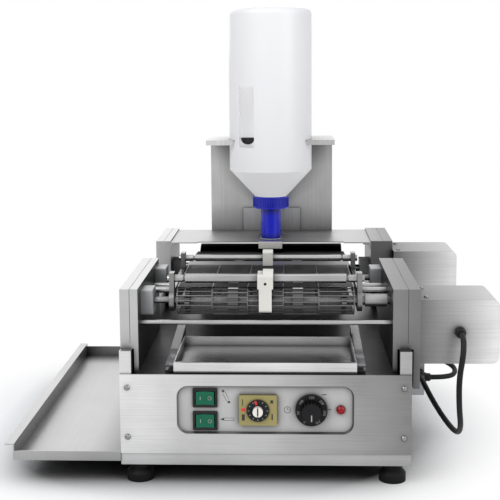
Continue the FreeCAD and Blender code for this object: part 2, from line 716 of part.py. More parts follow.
def block(label, side, y, z, bore):
    """A square bearing block on a frame's inner face."""
    body = new_body(label)
    near = frame_inner - d.block_thick if side > 0 else -frame_inner
    face = sketch_on(body, "YZ", near)
    half = d.block_size / 2
    rectangle(face, -half, -half, half, half, 2)
    circle(face, 0, 0, bore)
    pad(body, face, d.block_thick)
    place(body, 0, y, z)
    return body


def bearing_blocks():
    axis = belt_axis_height
    journal = d.journal_radius + d.running_gap
    group("bearing_blocks", [block("drive_left_block", -1, drive_y, axis, journal),
                             block("idler_left_block", -1, idler_y, axis, journal),
                             block("idler_right_block", 1, idler_y, axis, journal),
                             block("drum_block", 1, drum_y, drum_height, d.shaft_radius + d.running_gap),
                             block("sleeve_block", -1, drum_y, drum_height, d.drum_hub)])


def conveyor_side_plates():
    """Two cheek plates that carry the shafts, the rods and the rear slide plate."""
    ear_top = rod_height - belt_axis_height + d.ear_rise
    cheeks = []
    for name, near in (("left", -d.side_plate_x - d.side_plate_thick), ("right", d.side_plate_x)):
        plate = new_body(f"{name}_cheek_plate")
        cheek = sketch_on(plate, "YZ", near)
        tail = d.idler_spacing + d.side_plate_tail
        stadium(cheek, (0, 0), (tail, 0), d.side_plate_half_height)
        pad(plate, cheek, d.side_plate_thick)
        ear = sketch_on(plate, "YZ", near)
        rectangle(ear, -d.ear_width / 2, 0, d.ear_width / 2, ear_top)
        first = pad(plate, ear, d.side_plate_thick)
        ears = plate.newObject("PartDesign::LinearPattern", "ears")
        ears.Originals = [first]
        ears.Direction = (origin_part(plate, "Y_Axis"), [""])
        ears.Length = d.idler_spacing.value
        bind(ears, "Length", d.idler_spacing)
        ears.Occurrences = 2
        plate.Tip = ears
        doc.recompute()
        holes = sketch_on(plate, "YZ", near)
        for y in (0, d.idler_spacing):
            circle(holes, y, 0, d.shaft_radius + d.running_gap)
            circle(holes, y, rod_height - belt_axis_height, d.rod_end_radius)
        pocket(plate, holes, d.side_plate_thick)
        place(plate, 0, drive_y, belt_axis_height)
        cheeks.append(plate)
    group("conveyor_side_plates", cheeks)


def rod(label, radius, y):
    """A fixed rod between the cheek plates with necks, collars and nut ends."""
    body = new_body(label)
    plate, outer = d.side_plate_x, d.side_plate_x + d.side_plate_thick
    half = [(plate - d.rod_neck, radius), (plate - d.rod_neck, d.rod_end_radius),
            (plate - d.rod_neck * 0.8, d.rod_end_radius), (plate - d.rod_neck * 0.8, d.rod_collar_radius),
            (plate, d.rod_collar_radius), (plate, d.rod_end_radius), (outer, d.rod_end_radius),
            (outer, d.rod_collar_radius), (outer + d.rod_end_radius, d.rod_collar_radius * 0.9),
            (outer + d.rod_end_radius, 0)]
    turned(body, half + [(-x, r) for x, r in reversed(half)])
    place(body, 0, y, rod_height)
    return body


def rods_and_ties():
    group("stripper_rods", [rod("front_rod", d.front_rod_radius, drive_y),
                            rod("rear_rod", d.rear_rod_radius, idler_y)])
    tie = new_body("front_tie_bar")
    turned(tie, [(-frame_inner, 0), (-frame_inner, d.tie_radius), (frame_inner, d.tie_radius),
                 (frame_inner, 0)])
    place(tie, 0, front_frame_y + d.tie_setback, tie_height)
    spacers = []
    near, far = d.side_plate_x + d.side_plate_thick, frame_inner
    for side in (-1, 1):
        for share, lift in ((0.3, 1), (0.75, -1)):
            spacer = new_body(f"spacer_{len(spacers) + 1}")
            a, b = (near, far) if side > 0 else (-far, -near)
            turned(spacer, [(a, 0), (a, d.spacer_radius), (b, d.spacer_radius), (b, 0)])
            place(spacer, 0, drive_y + d.idler_spacing * share, belt_axis_height + lift * d.spacer_radius)
            spacers.append(spacer)
    group("tie_bar_and_spacers", [tie] + spacers)


def shafts():
    """The driven front roller and the idler, with smooth wheels and toothed sprockets."""
    cheek = d.side_plate_x + d.side_plate_thick
    end = frame_inner - d.running_gap
    coupling_x = (cheek + frame_inner) / 2
    drive = new_body("drive_shaft")
    turned(drive, [(-end, 0), (-end, d.journal_radius), (-cheek, d.journal_radius), (-cheek, d.shaft_radius),
                   (coupling_x, d.shaft_radius), (coupling_x, 0)])
    place(drive, 0, drive_y, belt_axis_height)
    idler = new_body("idler_shaft")
    half = [(cheek, d.shaft_radius), (cheek, d.journal_radius), (end, d.journal_radius), (end, 0)]
    turned(idler, half + [(-x, r) for x, r in reversed(half)])
    place(idler, 0, idler_y, belt_axis_height)
    output_radius = d.shaft_radius - 1
    coupling = new_body("drive_coupling")
    a, b = coupling_x - d.coupling_length / 2, coupling_x + d.coupling_length / 2
    turned(coupling, [(a, d.shaft_radius), (a, d.coupling_radius), (b, d.coupling_radius), (b, output_radius),
                      (coupling_x, output_radius), (coupling_x, d.shaft_radius)])
    place(coupling, 0, drive_y, belt_axis_height)
    output = new_body("front_output_shaft")
    tip = right_outer + d.output_depth - 1
    turned(output, [(coupling_x, 0), (coupling_x, output_radius), (tip, output_radius), (tip, 0)])
    place(output, 0, drive_y, belt_axis_height)
    for name, y in (("drive", drive_y), ("idler", idler_y)):
        wheels(name, y)


def wheels(name, y):
    rim = d.belt_inner_radius - d.wheel_gap
    smooth = []
    for side in (-1, 1):
        wheel = new_body(f"{name}_wheel_{len(smooth) + 1}")
        a, b = side * d.wheel_x - d.wheel_width / 2, side * d.wheel_x + d.wheel_width / 2
        turned(wheel, [(a, d.shaft_radius), (a, rim), (b, rim), (b, d.shaft_radius)])
        place(wheel, 0, y, belt_axis_height)
        smooth.append(wheel)
    group(f"{name}_wheels", smooth)
    toothed = []
    spread = d.belt_width / 2 - d.wheel_width
    for x in (-spread, size(0), spread):
        sprocket = new_body(f"{name}_sprocket_{len(toothed) + 1}")
        near = x - d.sprocket_width / 2
        root = rim - d.sprocket_tooth_depth
        disc = sketch_on(sprocket, "YZ", near)
        circle(disc, 0, 0, root)
        pad(sprocket, disc, d.sprocket_width)
        tooth = sketch_on(sprocket, "YZ", near)
        foot = d.sprocket_tooth_depth
        outline(tooth, [(-foot, root - 1), (foot, root - 1), (foot * 0.5, rim - 0.1), (-foot * 0.5, rim - 0.1)])
        first = pad(sprocket, tooth, d.sprocket_width)
        teeth = sprocket.newObject("PartDesign::PolarPattern", "teeth")
        teeth.Originals = [first]
        teeth.Axis = (origin_part(sprocket, "X_Axis"), [""])
        teeth.Angle = 360
        teeth.Occurrences = int(d.sprocket_teeth.value)
        bind(teeth, "Occurrences", d.sprocket_teeth)
        sprocket.Tip = teeth
        doc.recompute()
        bore = sketch_on(sprocket, "YZ", near)
        circle(bore, 0, 0, d.shaft_radius)
        pocket(sprocket, bore, d.sprocket_width)
        place(sprocket, 0, y, belt_axis_height)
        toothed.append(sprocket)
    group(f"{name}_sprockets", toothed)


def cell(name):
    """A number read back from the sheet."""
    return float(sheet.get(name))


def wire_belt():
    """Flat wire belt: each strand steps across five spaces and ends against the next strand."""
    spaces = 5
    width, wire, inner = cell("belt_width"), cell("wire_thick"), cell("belt_inner_radius")
    run = cell("idler_spacing")
    middle = inner + wire / 2
    loop = 2 * run + 2 * math.pi * middle
    pitch = loop / cell("strand_count")
    high = pitch - cell("wire_gap")
    space = width / spaces
    left = -width / 2
    lower, upper = [(left, 0)], [(left + wire, high), (left + wire, wire)]
    for index in range(1, spaces, 2):
        a, b = left + index * space, left + (index + 1) * space
        lower += [(a + wire / 2, 0), (a + wire / 2, high - wire), (b - wire / 2, high - wire), (b - wire / 2, 0)]
        upper += [(a - wire / 2, wire), (a - wire / 2, high), (b + wire / 2, high), (b + wire / 2, wire)]
    lower += [(-left, 0), (-left, high)]
    upper += [(-left - wire, wire), (-left - wire, high)]
    points = [Vector(x, s - high / 2, inner) for x, s in lower + upper[::-1] + [(left, high), (left, 0)]]
    strand = Part.Face(Part.makePolygon(points)).extrude(Vector(0, 0, wire))
    strands = []
    half_turn = math.pi * middle
    for index in range(int(cell("strand_count"))):
        s = (index + 0.5) * pitch
        if s < run:
            y, angle = run - s, 0
        elif s < run + half_turn:
            y, angle = 0, (s - run) / middle
        elif s < 2 * run + half_turn:
            y, angle = s - run - half_turn, math.pi
        else:
            y, angle = run, math.pi + (s - 2 * run - half_turn) / middle
        one = strand.copy()
        one.Placement = Placement(Vector(0, y, 0), Rotation(Vector(1, 0, 0), math.degrees(angle)))
        strands.append(one)
    belt = doc.addObject("Part::Feature", "wire_belt")
    belt.Label = "wire_belt"
    belt.Shape = Part.makeCompound(strands)
    place(belt, 0, drive_y, belt_axis_height)
    parts.append(belt)


def belt_supports():
    """A cross bar between the cheeks with two wear strips under the top run."""
    top = d.belt_inner_radius - d.wheel_gap
    under = top - d.strip_thick
    middle = d.idler_spacing / 2
    bar = new_body("belt_support_bar")
    section = sketch_on(bar, "YZ", -d.side_plate_x)
    rectangle(section, middle - d.support_bar_depth / 2, under - d.support_bar_height,
              middle + d.support_bar_depth / 2, under)
    pad(bar, section, d.side_plate_x * 2)
    place(bar, 0, drive_y, belt_axis_height)
    strips = []
    clear = d.belt_inner_radius + 2
    for side in (-1, 1):
        strip = new_body(f"wear_strip_{len(strips) + 1}")
        plan = sketch_on(strip, "XY", under)
        x = side * d.wheel_x
        rectangle(plan, x - d.wheel_width / 2, clear, x + d.wheel_width / 2, d.idler_spacing - clear)
        pad(strip, plan, d.strip_thick)
        place(strip, 0, drive_y, belt_axis_height)
        strips.append(strip)
    group("wear_strips", strips)


def stripper_guides():
    """White blocks on the two rods, and the finger that hangs before the belt's front turn."""
    outer = d.belt_inner_radius + d.wire_thick
    bottom = belt_axis_height + outer + 0.5 - rod_height
    top = guide_top - rod_height
    half_depth = d.guide_depth / 2
    rear = new_body("rear_guide_block")
    section = sketch_on(rear, "YZ", -d.rear_guide_width / 2)
    outline(section, [(-half_depth, bottom), (half_depth, bottom), (half_depth, top, 3), (-half_depth, top, 3)])
    circle(section, 0, 0, d.rear_rod_radius)
    pad(rear, section, d.rear_guide_width)
    place(rear, 0, idler_y, rod_height)

    nose = -outer - 0.5 - d.finger_thick
    front = new_body("front_guide_block")
    section = sketch_on(front, "YZ", -d.front_guide_width / 2)
    outline(section, [(nose, bottom), (half_depth, bottom), (half_depth, top, 3), (-half_depth, top),
                      (nose, d.front_rod_radius)])
    circle(section, 0, 0, d.front_rod_radius)
    pad(front, section, d.front_guide_width)
    notch = sketch_on(front, "XZ", nose)
    third = d.front_guide_width / 3
    rectangle(notch, -d.front_guide_width, top - 3, -d.front_guide_width / 2 + third, top + 1)
    pocket(front, notch, half_depth - nose + 1)
    hole = sketch_on(front, "XZ", nose)
    circle(hole, 0, (bottom + d.front_rod_radius) / 2 - 1, d.set_screw_radius)
    pocket(front, hole, d.guide_depth / 2)
    place(front, 0, drive_y, rod_height)

    finger = new_body("stripper_finger")
    section = sketch_on(finger, "YZ", -d.finger_width / 2)
    low = finger_bottom - rod_height
    outline(section, [(nose, low + 2), (nose + 1, low), (nose + d.finger_thick, low),
                      (nose + d.finger_thick, bottom), (nose, bottom)])
    pad(finger, section, d.finger_width)
    place(finger, 0, drive_y, rod_height)
    group("guide_blocks", [front, rear])


def folded(label, plane, level, corners, length):
    """One length of folded sheet from its closed section."""
    body = new_body(label)
    section = sketch_on(body, plane, level)
    outline(section, corners)
    pad(body, section, length)
    return body


def drip_pan():
    """The sliding pan under the belt, with its folded front lip, and the two rails beside it."""
    pan = new_body("drip_pan")
    half, deep = d.pan_half_width, d.pan_length
    blank = sketch_on(pan, "XY")
    rectangle(blank, -half, 0, half, deep)
    pad(pan, blank, d.pan_height)
    wall = d.rail_sheet * 0.75
    hollow = sketch_on(pan, "XY", d.pan_height)
    rectangle(hollow, wall - half, wall, half - wall, deep - wall)
    pocket(pan, hollow, d.pan_height - wall, forward=False)
    lip = sketch_on(pan, "YZ", -half)
    outline(lip, [(0, d.pan_height), (0, d.pan_height - wall), (-wall, d.pan_height - wall),
                  (-wall, d.pan_height - d.pan_lip), (-wall * 2, d.pan_height - d.pan_lip),
                  (-wall * 2, d.pan_height)])
    pad(pan, lip, half * 2)
    place(pan, 0, d.pan_front + wall * 2, deck_top + d.pan_gap)

    near = half + d.pan_gap
    rails = []
    for name, side in (("left", -1), ("right", 1)):
        rail = new_body(f"{name}_pan_rail")
        web = sketch_on(rail, "YZ", side * near)
        rise_back, rise_front = rail_top_back - deck_top, rail_top_front - deck_top
        sides = [(0, 0), (d.rail_reach, 0), (d.rail_reach, rise_back), (0, rise_front)]
        outline(web, sides)
        pad(rail, web, d.rail_sheet, forward=side > 0)
        flange = sketch_on(rail, "YZ", side * (near + d.rail_sheet))
        outline(flange, [(0, rise_front - d.rail_sheet), (d.rail_reach, rise_back - d.rail_sheet),
                         (d.rail_reach, rise_back), (0, rise_front)])
        pad(rail, flange, d.rail_flange, forward=side > 0)
        foot = sketch_on(rail, "XY")
        rectangle(foot, side * near, 0, side * (near + d.rail_sheet + d.rail_flange), d.rail_reach)
        pad(rail, foot, d.rail_sheet)
        place(rail, 0, front_frame_y, deck_top)
        rails.append(rail)
    group("pan_rails", rails)


def side_tray():
    """The removable tray on the left, held by two tongues in slots of the base wall."""
    tray = new_body("side_tray")
    sheet_gauge = d.sheet
    right = half_base + d.tray_gap
    left = right + d.tray_reach - d.tray_flange
    floor = d.tray_floor
    pan = sketch_on(tray, "XY", floor)
    rectangle(pan, -left, 0, -right, d.tray_depth)
    pad(tray, pan, d.tray_side_top - floor)
    hollow = sketch_on(tray, "XY", d.tray_side_top)
    rectangle(hollow, sheet_gauge - left, sheet_gauge, -right - sheet_gauge, d.tray_depth - sheet_gauge)
    pocket(tray, hollow, d.tray_side_top - floor - sheet_gauge, forward=False)
    over = sketch_on(tray, "XZ")
    middle = (d.tray_side_top + d.tray_lip_top) / 2
    outline(over, [(sheet_gauge - left, d.tray_lip_top), (1 - right, d.tray_lip_top), (1 - right, d.tray_side_top + 1),
                   (sheet_gauge - left, d.tray_side_top + 1)])
    pocket(tray, over, d.tray_depth - sheet_gauge)
    back = sketch_on(tray, "XZ", d.tray_depth - sheet_gauge)
    outline(back, [(sheet_gauge - left, middle), (1 - right, middle), (1 - right, d.tray_side_top + 1),
                   (sheet_gauge - left, d.tray_side_top + 1)])
    pocket(tray, back, sheet_gauge)
    grip = sketch_on(tray, "XY", d.tray_side_top - sheet_gauge)
    rectangle(grip, -left - d.tray_flange, 0, -left, d.tray_depth)
    pad(tray, grip, sheet_gauge)
    tongues = sketch_on(tray, "XY", floor)
    for low_y in tongue_places():
        rectangle(tongues, -right - sheet_gauge / 2, low_y, d.tray_tongue - right, low_y + d.tray_tongue_width)
    pad(tray, tongues, sheet_gauge)
    place(tray, 0, 0)


def drum():
    """The driven drum, running on the fixed sleeve that carries the heater on the left."""
    half, wall, shell, hub = d.drum_half_width, d.drum_wall, d.drum_radius, d.drum_hub
    sleeve_bore = hub + d.running_gap
    body = new_body("crepe_drum")
    turned(body, [(-half, shell), (half, shell), (half, d.shaft_radius), (half - wall * 3, d.shaft_radius),
                  (half - wall * 3, hub), (half - wall, hub), (half - wall, shell - wall),
                  (wall - half, shell - wall), (wall - half, hub + wall), (wall * 4 - half, hub + wall),
                  (wall * 4 - half, sleeve_bore), (-half, sleeve_bore)])
    place(body, 0, drum_y, drum_height)
    shaft = new_body("drum_shaft")
    root, tip = half - wall * 5, right_outer + d.output_depth - 1
    turned(shaft, [(root, 0), (root, d.shaft_radius), (tip, d.shaft_radius), (tip, 0)])
    place(shaft, 0, drum_y, drum_height)
    left, end = -frame_inner, root - wall * 2
    sleeve = new_body("heater_sleeve")
    turned(sleeve, [(left, d.heater_radius), (left, hub), (end, hub), (end, d.heater_radius)])
    place(sleeve, 0, drum_y, drum_height)
    heater = new_body("heater_rod")
    turned(heater, [(left, 0), (left, d.heater_radius), (end - wall, d.heater_radius), (end - wall, 0)])
    place(heater, 0, drum_y, drum_height)


def transfer_plate():
    """The folded chute from the drum to the belt, between the conveyor's cheek plates."""
    rear = d.drum_radius + d.bridge_gap
    front = d.belt_inner_radius + d.wire_thick + d.bridge_gap
    a = (idler_y + front * sine(d.bridge_angle) - drum_y, belt_axis_height + front * cosine(d.bridge_angle))
    b = (-rear * sine(d.bridge_angle), drum_height + rear * cosine(d.bridge_angle))
    gauge, x = d.sheet, d.side_plate_x
    body = new_body("transfer_plate")
    top = sketch_on(body, "YZ", -x)
    outline(top, [(a[0], a[1] - gauge), (b[0], b[1] - gauge), b, a])
    pad(body, top, x * 2)
    drop = gauge * 6
    for near in (-x, x - gauge):
        flange = sketch_on(body, "YZ", near)
        outline(flange, [(a[0] + drop, a[1] - drop - gauge), (b[0], b[1] - drop), (b[0], b[1] - gauge / 2),
                         (a[0] + drop, a[1] - gauge)])
        pad(body, flange, gauge)
    place(body, 0, drum_y)


def top_plate():
    """The plate over the drum with the long opening for the dosing shoe, and its two ledges."""
    top, gauge = plate_height, d.sheet
    half, wide = d.plate_half_width, frame_inner
    body = new_body("top_plate")
    plan = sketch_on(body, "XY", top - gauge)
    edge, front, back = rear_frame_y, d.plate_front, bracket_face
    outline(plan, [(-wide, edge), (-half, edge), (-half, front), (half, front), (half, edge), (wide, edge),
                   (wide, back), (-wide, back)])
    pad(body, plan, gauge)
    opening = sketch_on(body, "XY", top - gauge)
    reach = (d.slot_length - d.slot_width) / 2
    stadium(opening, (0, d.bottle_y - reach), (0, d.bottle_y + reach), d.slot_width / 2)
    pocket(body, opening, gauge)
    place(body)
    ledges = []
    for side in (-1, 1):
        ledge = new_body(f"ledge_{len(ledges) + 1}")
        section = sketch_on(ledge, "XZ", edge)
        under, low, near = top - gauge, top - gauge - d.ledge_drop, wide - d.ledge_width
        outline(section, [(side * x, z) for x, z in
                          [(wide, low), (wide, under), (near, under), (near, under - d.rail_sheet),
                           (wide - d.rail_sheet, under - d.rail_sheet), (wide - d.rail_sheet, low)]])
        pad(ledge, section, back - edge)
        place(ledge)
        ledges.append(ledge)
    group("plate_ledges", ledges)


def dosing_shoe():
    """White shoe under the plate: a round socket for the spout over an outlet to the drum."""
    body = new_body("dosing_shoe")
    under = plate_height - d.sheet
    back = d.bottle_y + d.slot_length / 2 - d.shoe_socket
    section = sketch_on(body, "YZ", -d.shoe_half_width)
    outline(section, [(d.shoe_front, under - d.shoe_drop + 1.5), (back, under - d.shoe_drop + 1.5), (back, under),
                      (d.plate_front, under), (d.plate_front, plate_height), (d.shoe_front, plate_height)])
    pad(body, section, d.shoe_half_width * 2)
    socket = sketch_on(body, "XY", under)
    circle(socket, 0, d.bottle_y, d.spout_radius + d.bottle_gap / 2)
    pocket(body, socket, d.shoe_socket, forward=False)
    outlet = sketch_on(body, "XY", under)
    circle(outlet, 0, d.bottle_y, d.spout_bore)
    pocket(body, outlet, d.shoe_drop, forward=False)
    place(body)


def bottle_bracket():
    """The bent sheet behind the bottle with its notched shelf, and the doubler at its foot."""
    half, top, gauge = d.bracket_half_width, bracket_height, d.bracket_sheet
    foot = plate_height
    low = foot - d.ledge_drop - d.ledge_drop / 2
    body = new_body("bent_bracket")
    face = sketch_on(body, "XZ", bracket_face)
    wide = frame_inner
    outline(face, [(-wide, low), (wide, low), (wide, foot), (half, foot), (half, top), (-half, top), (-half, foot),
                   (-wide, foot)])
    pad(body, face, gauge)
    shelf = sketch_on(body, "XY", top - gauge)
    notch = d.bottle_radius + d.bottle_gap
    rectangle(shelf, -half, bracket_face - d.shelf_depth, half, bracket_face)
    pad(body, shelf, gauge)
    opening = sketch_on(body, "XY", top - gauge)
    circle(opening, 0, d.bottle_y, notch)
    pocket(body, opening, gauge)
    place(body)
    doubler = new_body("bracket_doubler")
    face = sketch_on(doubler, "XZ", bracket_face - gauge)
    rectangle(face, -d.slot_length * 0.7, foot, d.slot_length * 0.7, foot + d.slot_width)
    pad(doubler, face, gauge)
    place(doubler)
    group("bottle_bracket", [body, doubler])


def box(label, low, high):
    """A plain block between two corners, for cutting the bottle's grip."""
    block_out = doc.addObject("Part::Box", label)
    block_out.Label = label
    for prop, letter, a, b in zip(("Length", "Width", "Height"), "xyz", low, high):
        bind(block_out, prop, size(b) - a)
        bind(block_out, f"Placement.Base.{letter}", a)
    return block_out


def cut(label, base, tool):
    result = doc.addObject("Part::Cut", label)
    result.Label = label
    result.Base = base
    result.Tool = tool
    doc.recompute()
    return result


def bottle():
    """Inverted batter bottle with a pinched grip, its blue cap and the spout."""
    wall, radius, neck = d.bottle_wall, d.bottle_radius, d.bottle_neck_radius
    floor = bottle_neck - d.cap_height + d.cap_wall
    outer = new_body("bottle_outside")
    turned(outer, [(floor, 0), (floor, neck), (bottle_neck, neck), (bottle_shoulder, radius),
                   (bottle_top, radius, d.bottle_corner), (bottle_top, 0)], "Z")
    inner = new_body("bottle_inside")
    turned(inner, [(floor - 1, 0), (floor - 1, neck - wall), (bottle_neck, neck - wall),
                   (bottle_shoulder, radius - wall), (bottle_top - wall, radius - wall, d.bottle_corner - wall),
                   (bottle_top - wall, 0)], "Z")
    for body in (outer, inner):
        parts.remove(body)
    left, right = -d.grip_x - d.grip_width / 2, -d.grip_x + d.grip_width / 2
    low, high, web = grip_low, grip_high, d.grip_web / 2
    kept = box("grip_walls", (left - wall, -radius, low - wall), (right + wall, radius, high + wall))
    hollow = cut("bottle_hollow", inner, kept)
    shell = cut("bottle_shell", outer, hollow)
    before = cut("bottle_front_grip", shell, box("grip_front", (left, -radius, low), (right, -web, high)))
    whole = cut("batter_bottle", before, box("grip_back", (left, web, low), (right, radius, high)))
    place(whole, 0, d.bottle_y)
    parts.append(whole)

    cap = new_body("bottle_cap")
    top, base = bottle_neck, bottle_neck - d.cap_height
    tip = plate_height - d.sheet - d.shoe_socket
    inside, spout, bore = d.cap_radius - d.cap_wall, d.spout_radius, d.spout_bore
    turned(cap, [(top, inside), (top, d.cap_radius), (base, d.cap_radius), (base, spout + d.cap_wall),
                 (base - d.cap_wall, spout), (tip, spout), (tip, bore), (floor, bore), (floor, inside)], "Z")
    place(cap, 0, d.bottle_y)


def gearmotor(name, axis_y, axis_z, motor_y, bore):
    """A gearbox on the frame's outer wall with its round motor beyond it."""
    body = new_body(f"{name}_gearmotor")
    motor_z = belt_axis_height - d.gear_offset
    half = d.gearbox_width / 2
    front = motor_y - half
    back = motor_y + half
    low, high = motor_z - half, motor_z + half
    if name == "front":
        low, high = motor_z - d.motor_radius, axis_z + d.gearbox_reach
    else:
        back = axis_y + d.gearbox_reach
    case = sketch_on(body, "YZ", right_outer)
    rectangle(case, front, low, back, high, 2)
    pad(body, case, d.gearbox_length)
    can = sketch_on(body, "YZ", right_outer + d.gearbox_length)
    circle(can, motor_y, motor_z, d.motor_radius - d.sheet)
    pad(body, can, d.motor_length)
    hole = sketch_on(body, "YZ", right_outer)
    circle(hole, axis_y, axis_z, bore + d.running_gap)
    pocket(body, hole, d.output_depth)
    place(body)


def motor_cover(name, y, glands_front):
    """Wrapped sheet hood over a gearmotor, open toward the frame."""
    body = new_body(f"{name}_motor_cover")
    gauge, corner = d.cover_sheet, d.cover_corner
    x, end, low, high = right_outer, cover_end_x, cover_low, cover_high
    section = sketch_on(body, "XZ")
    outline(section, [(x, low), (end, low, corner), (end, high, corner), (x, high)])
    pad(body, section, d.cover_depth)
    hollow = sketch_on(body, "XZ", gauge)
    inner = corner - gauge
    outline(hollow, [(x - 1, low + gauge), (end - gauge, low + gauge, inner), (end - gauge, high - gauge, inner),
                     (x - 1, high - gauge)])
    pocket(body, hollow, d.cover_depth - gauge * 2)
    if glands_front:
        hole = sketch_on(body, "XZ")
        circle(hole, front_gland_x, belt_axis_height - d.gear_offset, d.gland_thread)
    else:
        hole = sketch_on(body, "XY", low)
        circle(hole, rear_gland_x, d.cover_depth / 2, d.gland_thread)
    pocket(body, hole, gauge)
    place(body, 0, y)
    return body


def gearmotors(screws):
    height = belt_axis_height
    gearmotor("front", drive_y, height, drive_y, d.shaft_radius - 1)
    gearmotor("rear", drum_y, drum_height, motor_rear_y, d.shaft_radius)
    group("motor_covers", [motor_cover("front", front_cover_y, True), motor_cover("rear", rear_cover_y, False)])
    for y in (front_cover_y, rear_cover_y):
        for share in (0.2, 0.8):
            screw = new_body(f"cover_screw_{len(screws) - 3}")
            turned(screw, [(0, 0), (0, d.panel_screw_head), (d.panel_screw_radius, d.panel_screw_head * 0.7),
                           (d.panel_screw_radius, 0)], "Z")
            place(screw, right_outer + d.cover_corner, y + d.cover_depth * share, cover_high)
            screws.append(screw)
    group("case_screws", screws)


def terminal_box():
    """The cable box on the base's right wall with its lid."""
    x, wide, lid = half_base, d.terminal_width, d.sheet
    deep, tall = d.terminal_depth, terminal_high - terminal_low
    casing = new_body("terminal_box")
    section = sketch_on(casing, "YZ", x)
    rectangle(section, 0, 0, deep, tall, d.case_corner)
    pad(casing, section, wide - lid)
    hollow = sketch_on(casing, "YZ", x + wide - lid)
    wall = lid * 1.5
    rectangle(hollow, wall, wall, deep - wall, tall - wall, 3)
    pocket(casing, hollow, wide - lid - wall, forward=False)
    hole = sketch_on(casing, "XZ")
    circle(hole, *front_port, d.gland_thread)
    pocket(casing, hole, wall)
    place(casing, 0, d.terminal_front, terminal_low)
    cover = new_body("terminal_lid")
    section = sketch_on(cover, "YZ", x + wide - lid)
    rectangle(section, 0, 0, deep, tall, d.case_corner)
    pad(cover, section, lid)
    hole = sketch_on(cover, "YZ", x + wide - lid)
    circle(hole, *side_port, d.gland_thread)
    pocket(cover, hole, lid)
    place(cover, 0, d.terminal_front, terminal_low)


def glands():
    """Four like cable glands, each standing off the wall its thread goes through."""
    spots = [((front_gland_x, front_cover_y, belt_axis_height - d.gear_offset), Vector(0, -1, 0)),
             ((rear_gland_x, motor_rear_y, cover_low), Vector(0, 0, -1)),
             ((front_port[0], d.terminal_front, terminal_low + front_port[1]), Vector(0, -1, 0)),
             ((half_base + d.terminal_width, d.terminal_front + side_port[0], terminal_low + side_port[1]),
              Vector(1, 0, 0))]
    made = []
    radius, long = d.gland_radius, d.gland_length
    for spot, way in spots:
        gland = new_body(f"gland_{len(made) + 1}")
        turned(gland, [(-radius / 2, 0), (-radius / 2, d.gland_thread), (0, d.gland_thread), (0, radius),
                       (long * 0.45, radius), (long * 0.5, radius * 0.85), (long * 0.85, radius * 0.85),
                       (long, radius * 0.7), (long, 0)], "Z")
        gland.Placement = Placement(Vector(), Rotation(Vector(0, 0, 1), way))
        place(gland, *spot)
        made.append(gland)
    group("cable_glands", made)


def power_inlet():
    """Socket for the power cable on the rear wall."""
    body = new_body("power_inlet")
    face = sketch_on(body, "XZ", base_back)
    half, tall = d.inlet_width / 2, d.inlet_height / 2
    rectangle(face, -half, -tall, half, tall, 2)
    pad(body, face, d.inlet_depth)
    well = sketch_on(body, "XZ", base_back + d.inlet_depth)
    rim = d.sheet * 2
    rectangle(well, rim - half, rim - tall, half - rim, tall - rim, 1)
    pocket(body, well, d.inlet_depth - rim, forward=False)
    pins = sketch_on(body, "XZ", base_back + rim)
    pin = d.sheet / 2
    for x, z in ((-half / 2, -pin), (0, pin * 3), (half / 2, -pin)):
        rectangle(pins, x - pin, z - pin * 3, x + pin, z + pin * 3)
    pad(body, pins, d.inlet_depth - rim * 2)
    place(body, d.terminal_width * 3, 0, d.inlet_height + terminal_low)


def cord(label, start, start_steps, end, end_steps):
    """A cable as straight runs joined by tangent arcs, cut from a tube swept along them."""
    radius = cell("cord_radius")
    first, last = [Vector(*[size(c).value for c in spot]) for spot in (start, end)]
    points = [first] + [first + Vector(*step) for step in start_steps]
    points += [last + Vector(*step) for step in end_steps] + [last]
    edges, here, radii = [], points[0], []
    for before, corner, after in zip(points, points[1:], points[2:]):
        back, ahead = before - corner, after - corner
        trim = 0.45 * min(back.Length, ahead.Length)
        turn = math.pi - back.getAngle(ahead)
        radii.append(round(trim / math.tan(turn / 2), 1))
        a, b = corner + back.normalize() * trim, corner + ahead.normalize() * trim
        middle = corner + (back + ahead).normalize() * (trim * math.tan(turn / 4))
        edges += [Part.LineSegment(here, a).toShape(), Part.Arc(a, middle, b).toShape()]
        here = b
    edges.append(Part.LineSegment(here, points[-1]).toShape())
    print(label, "bend radii", radii)
    path = Part.Wire(edges)
    heading = points[1] - points[0]
    ring = Part.Wire(Part.makeCircle(radius, points[0], heading))
    tube = path.makePipeShell([ring], True, True)
    cable = doc.addObject("Part::Feature", label)
    cable.Label = label
    cable.Shape = tube
    place(cable)
    parts.append(cable)
    if abs(tube.Volume - math.pi * radius ** 2 * path.Length) > 0.01 * tube.Volume:
        raise ValueError("cord volume: " + label)


def cords():
    """The two motor cables, drawn hanging in the curves they take at rest."""
    motor_z = belt_axis_height - d.gear_offset
    cord("front_motor_cord",
         (front_gland_x, front_cover_y - d.gland_length, motor_z),
         [(0, -15.5, 0), (-2, -28.5, -17), (-7, -29.5, -47), (-5, -21.5, -85), (1, -1.5, -117)],
         (front_port[0], d.terminal_front - d.gland_length, terminal_low + front_port[1]),
         [(34, -104, -44), (25, -68, -40), (12, -44, -22), (0, -24, 0)])
    cord("rear_motor_cord",
         (rear_gland_x, motor_rear_y, cover_low - d.gland_length),
         [(0, 0, -22), (-4, -16, -41), (-12, -46, -49), (-20, -80, -47)],
         (half_base + d.terminal_width + d.gland_length, d.terminal_front + side_port[0],
          terminal_low + side_port[1]),
         [(0, 111, 12), (4, 77, 14), (18, 53, 12), (38, 35, 6), (36, 11, 1), (19, 0, 0)])


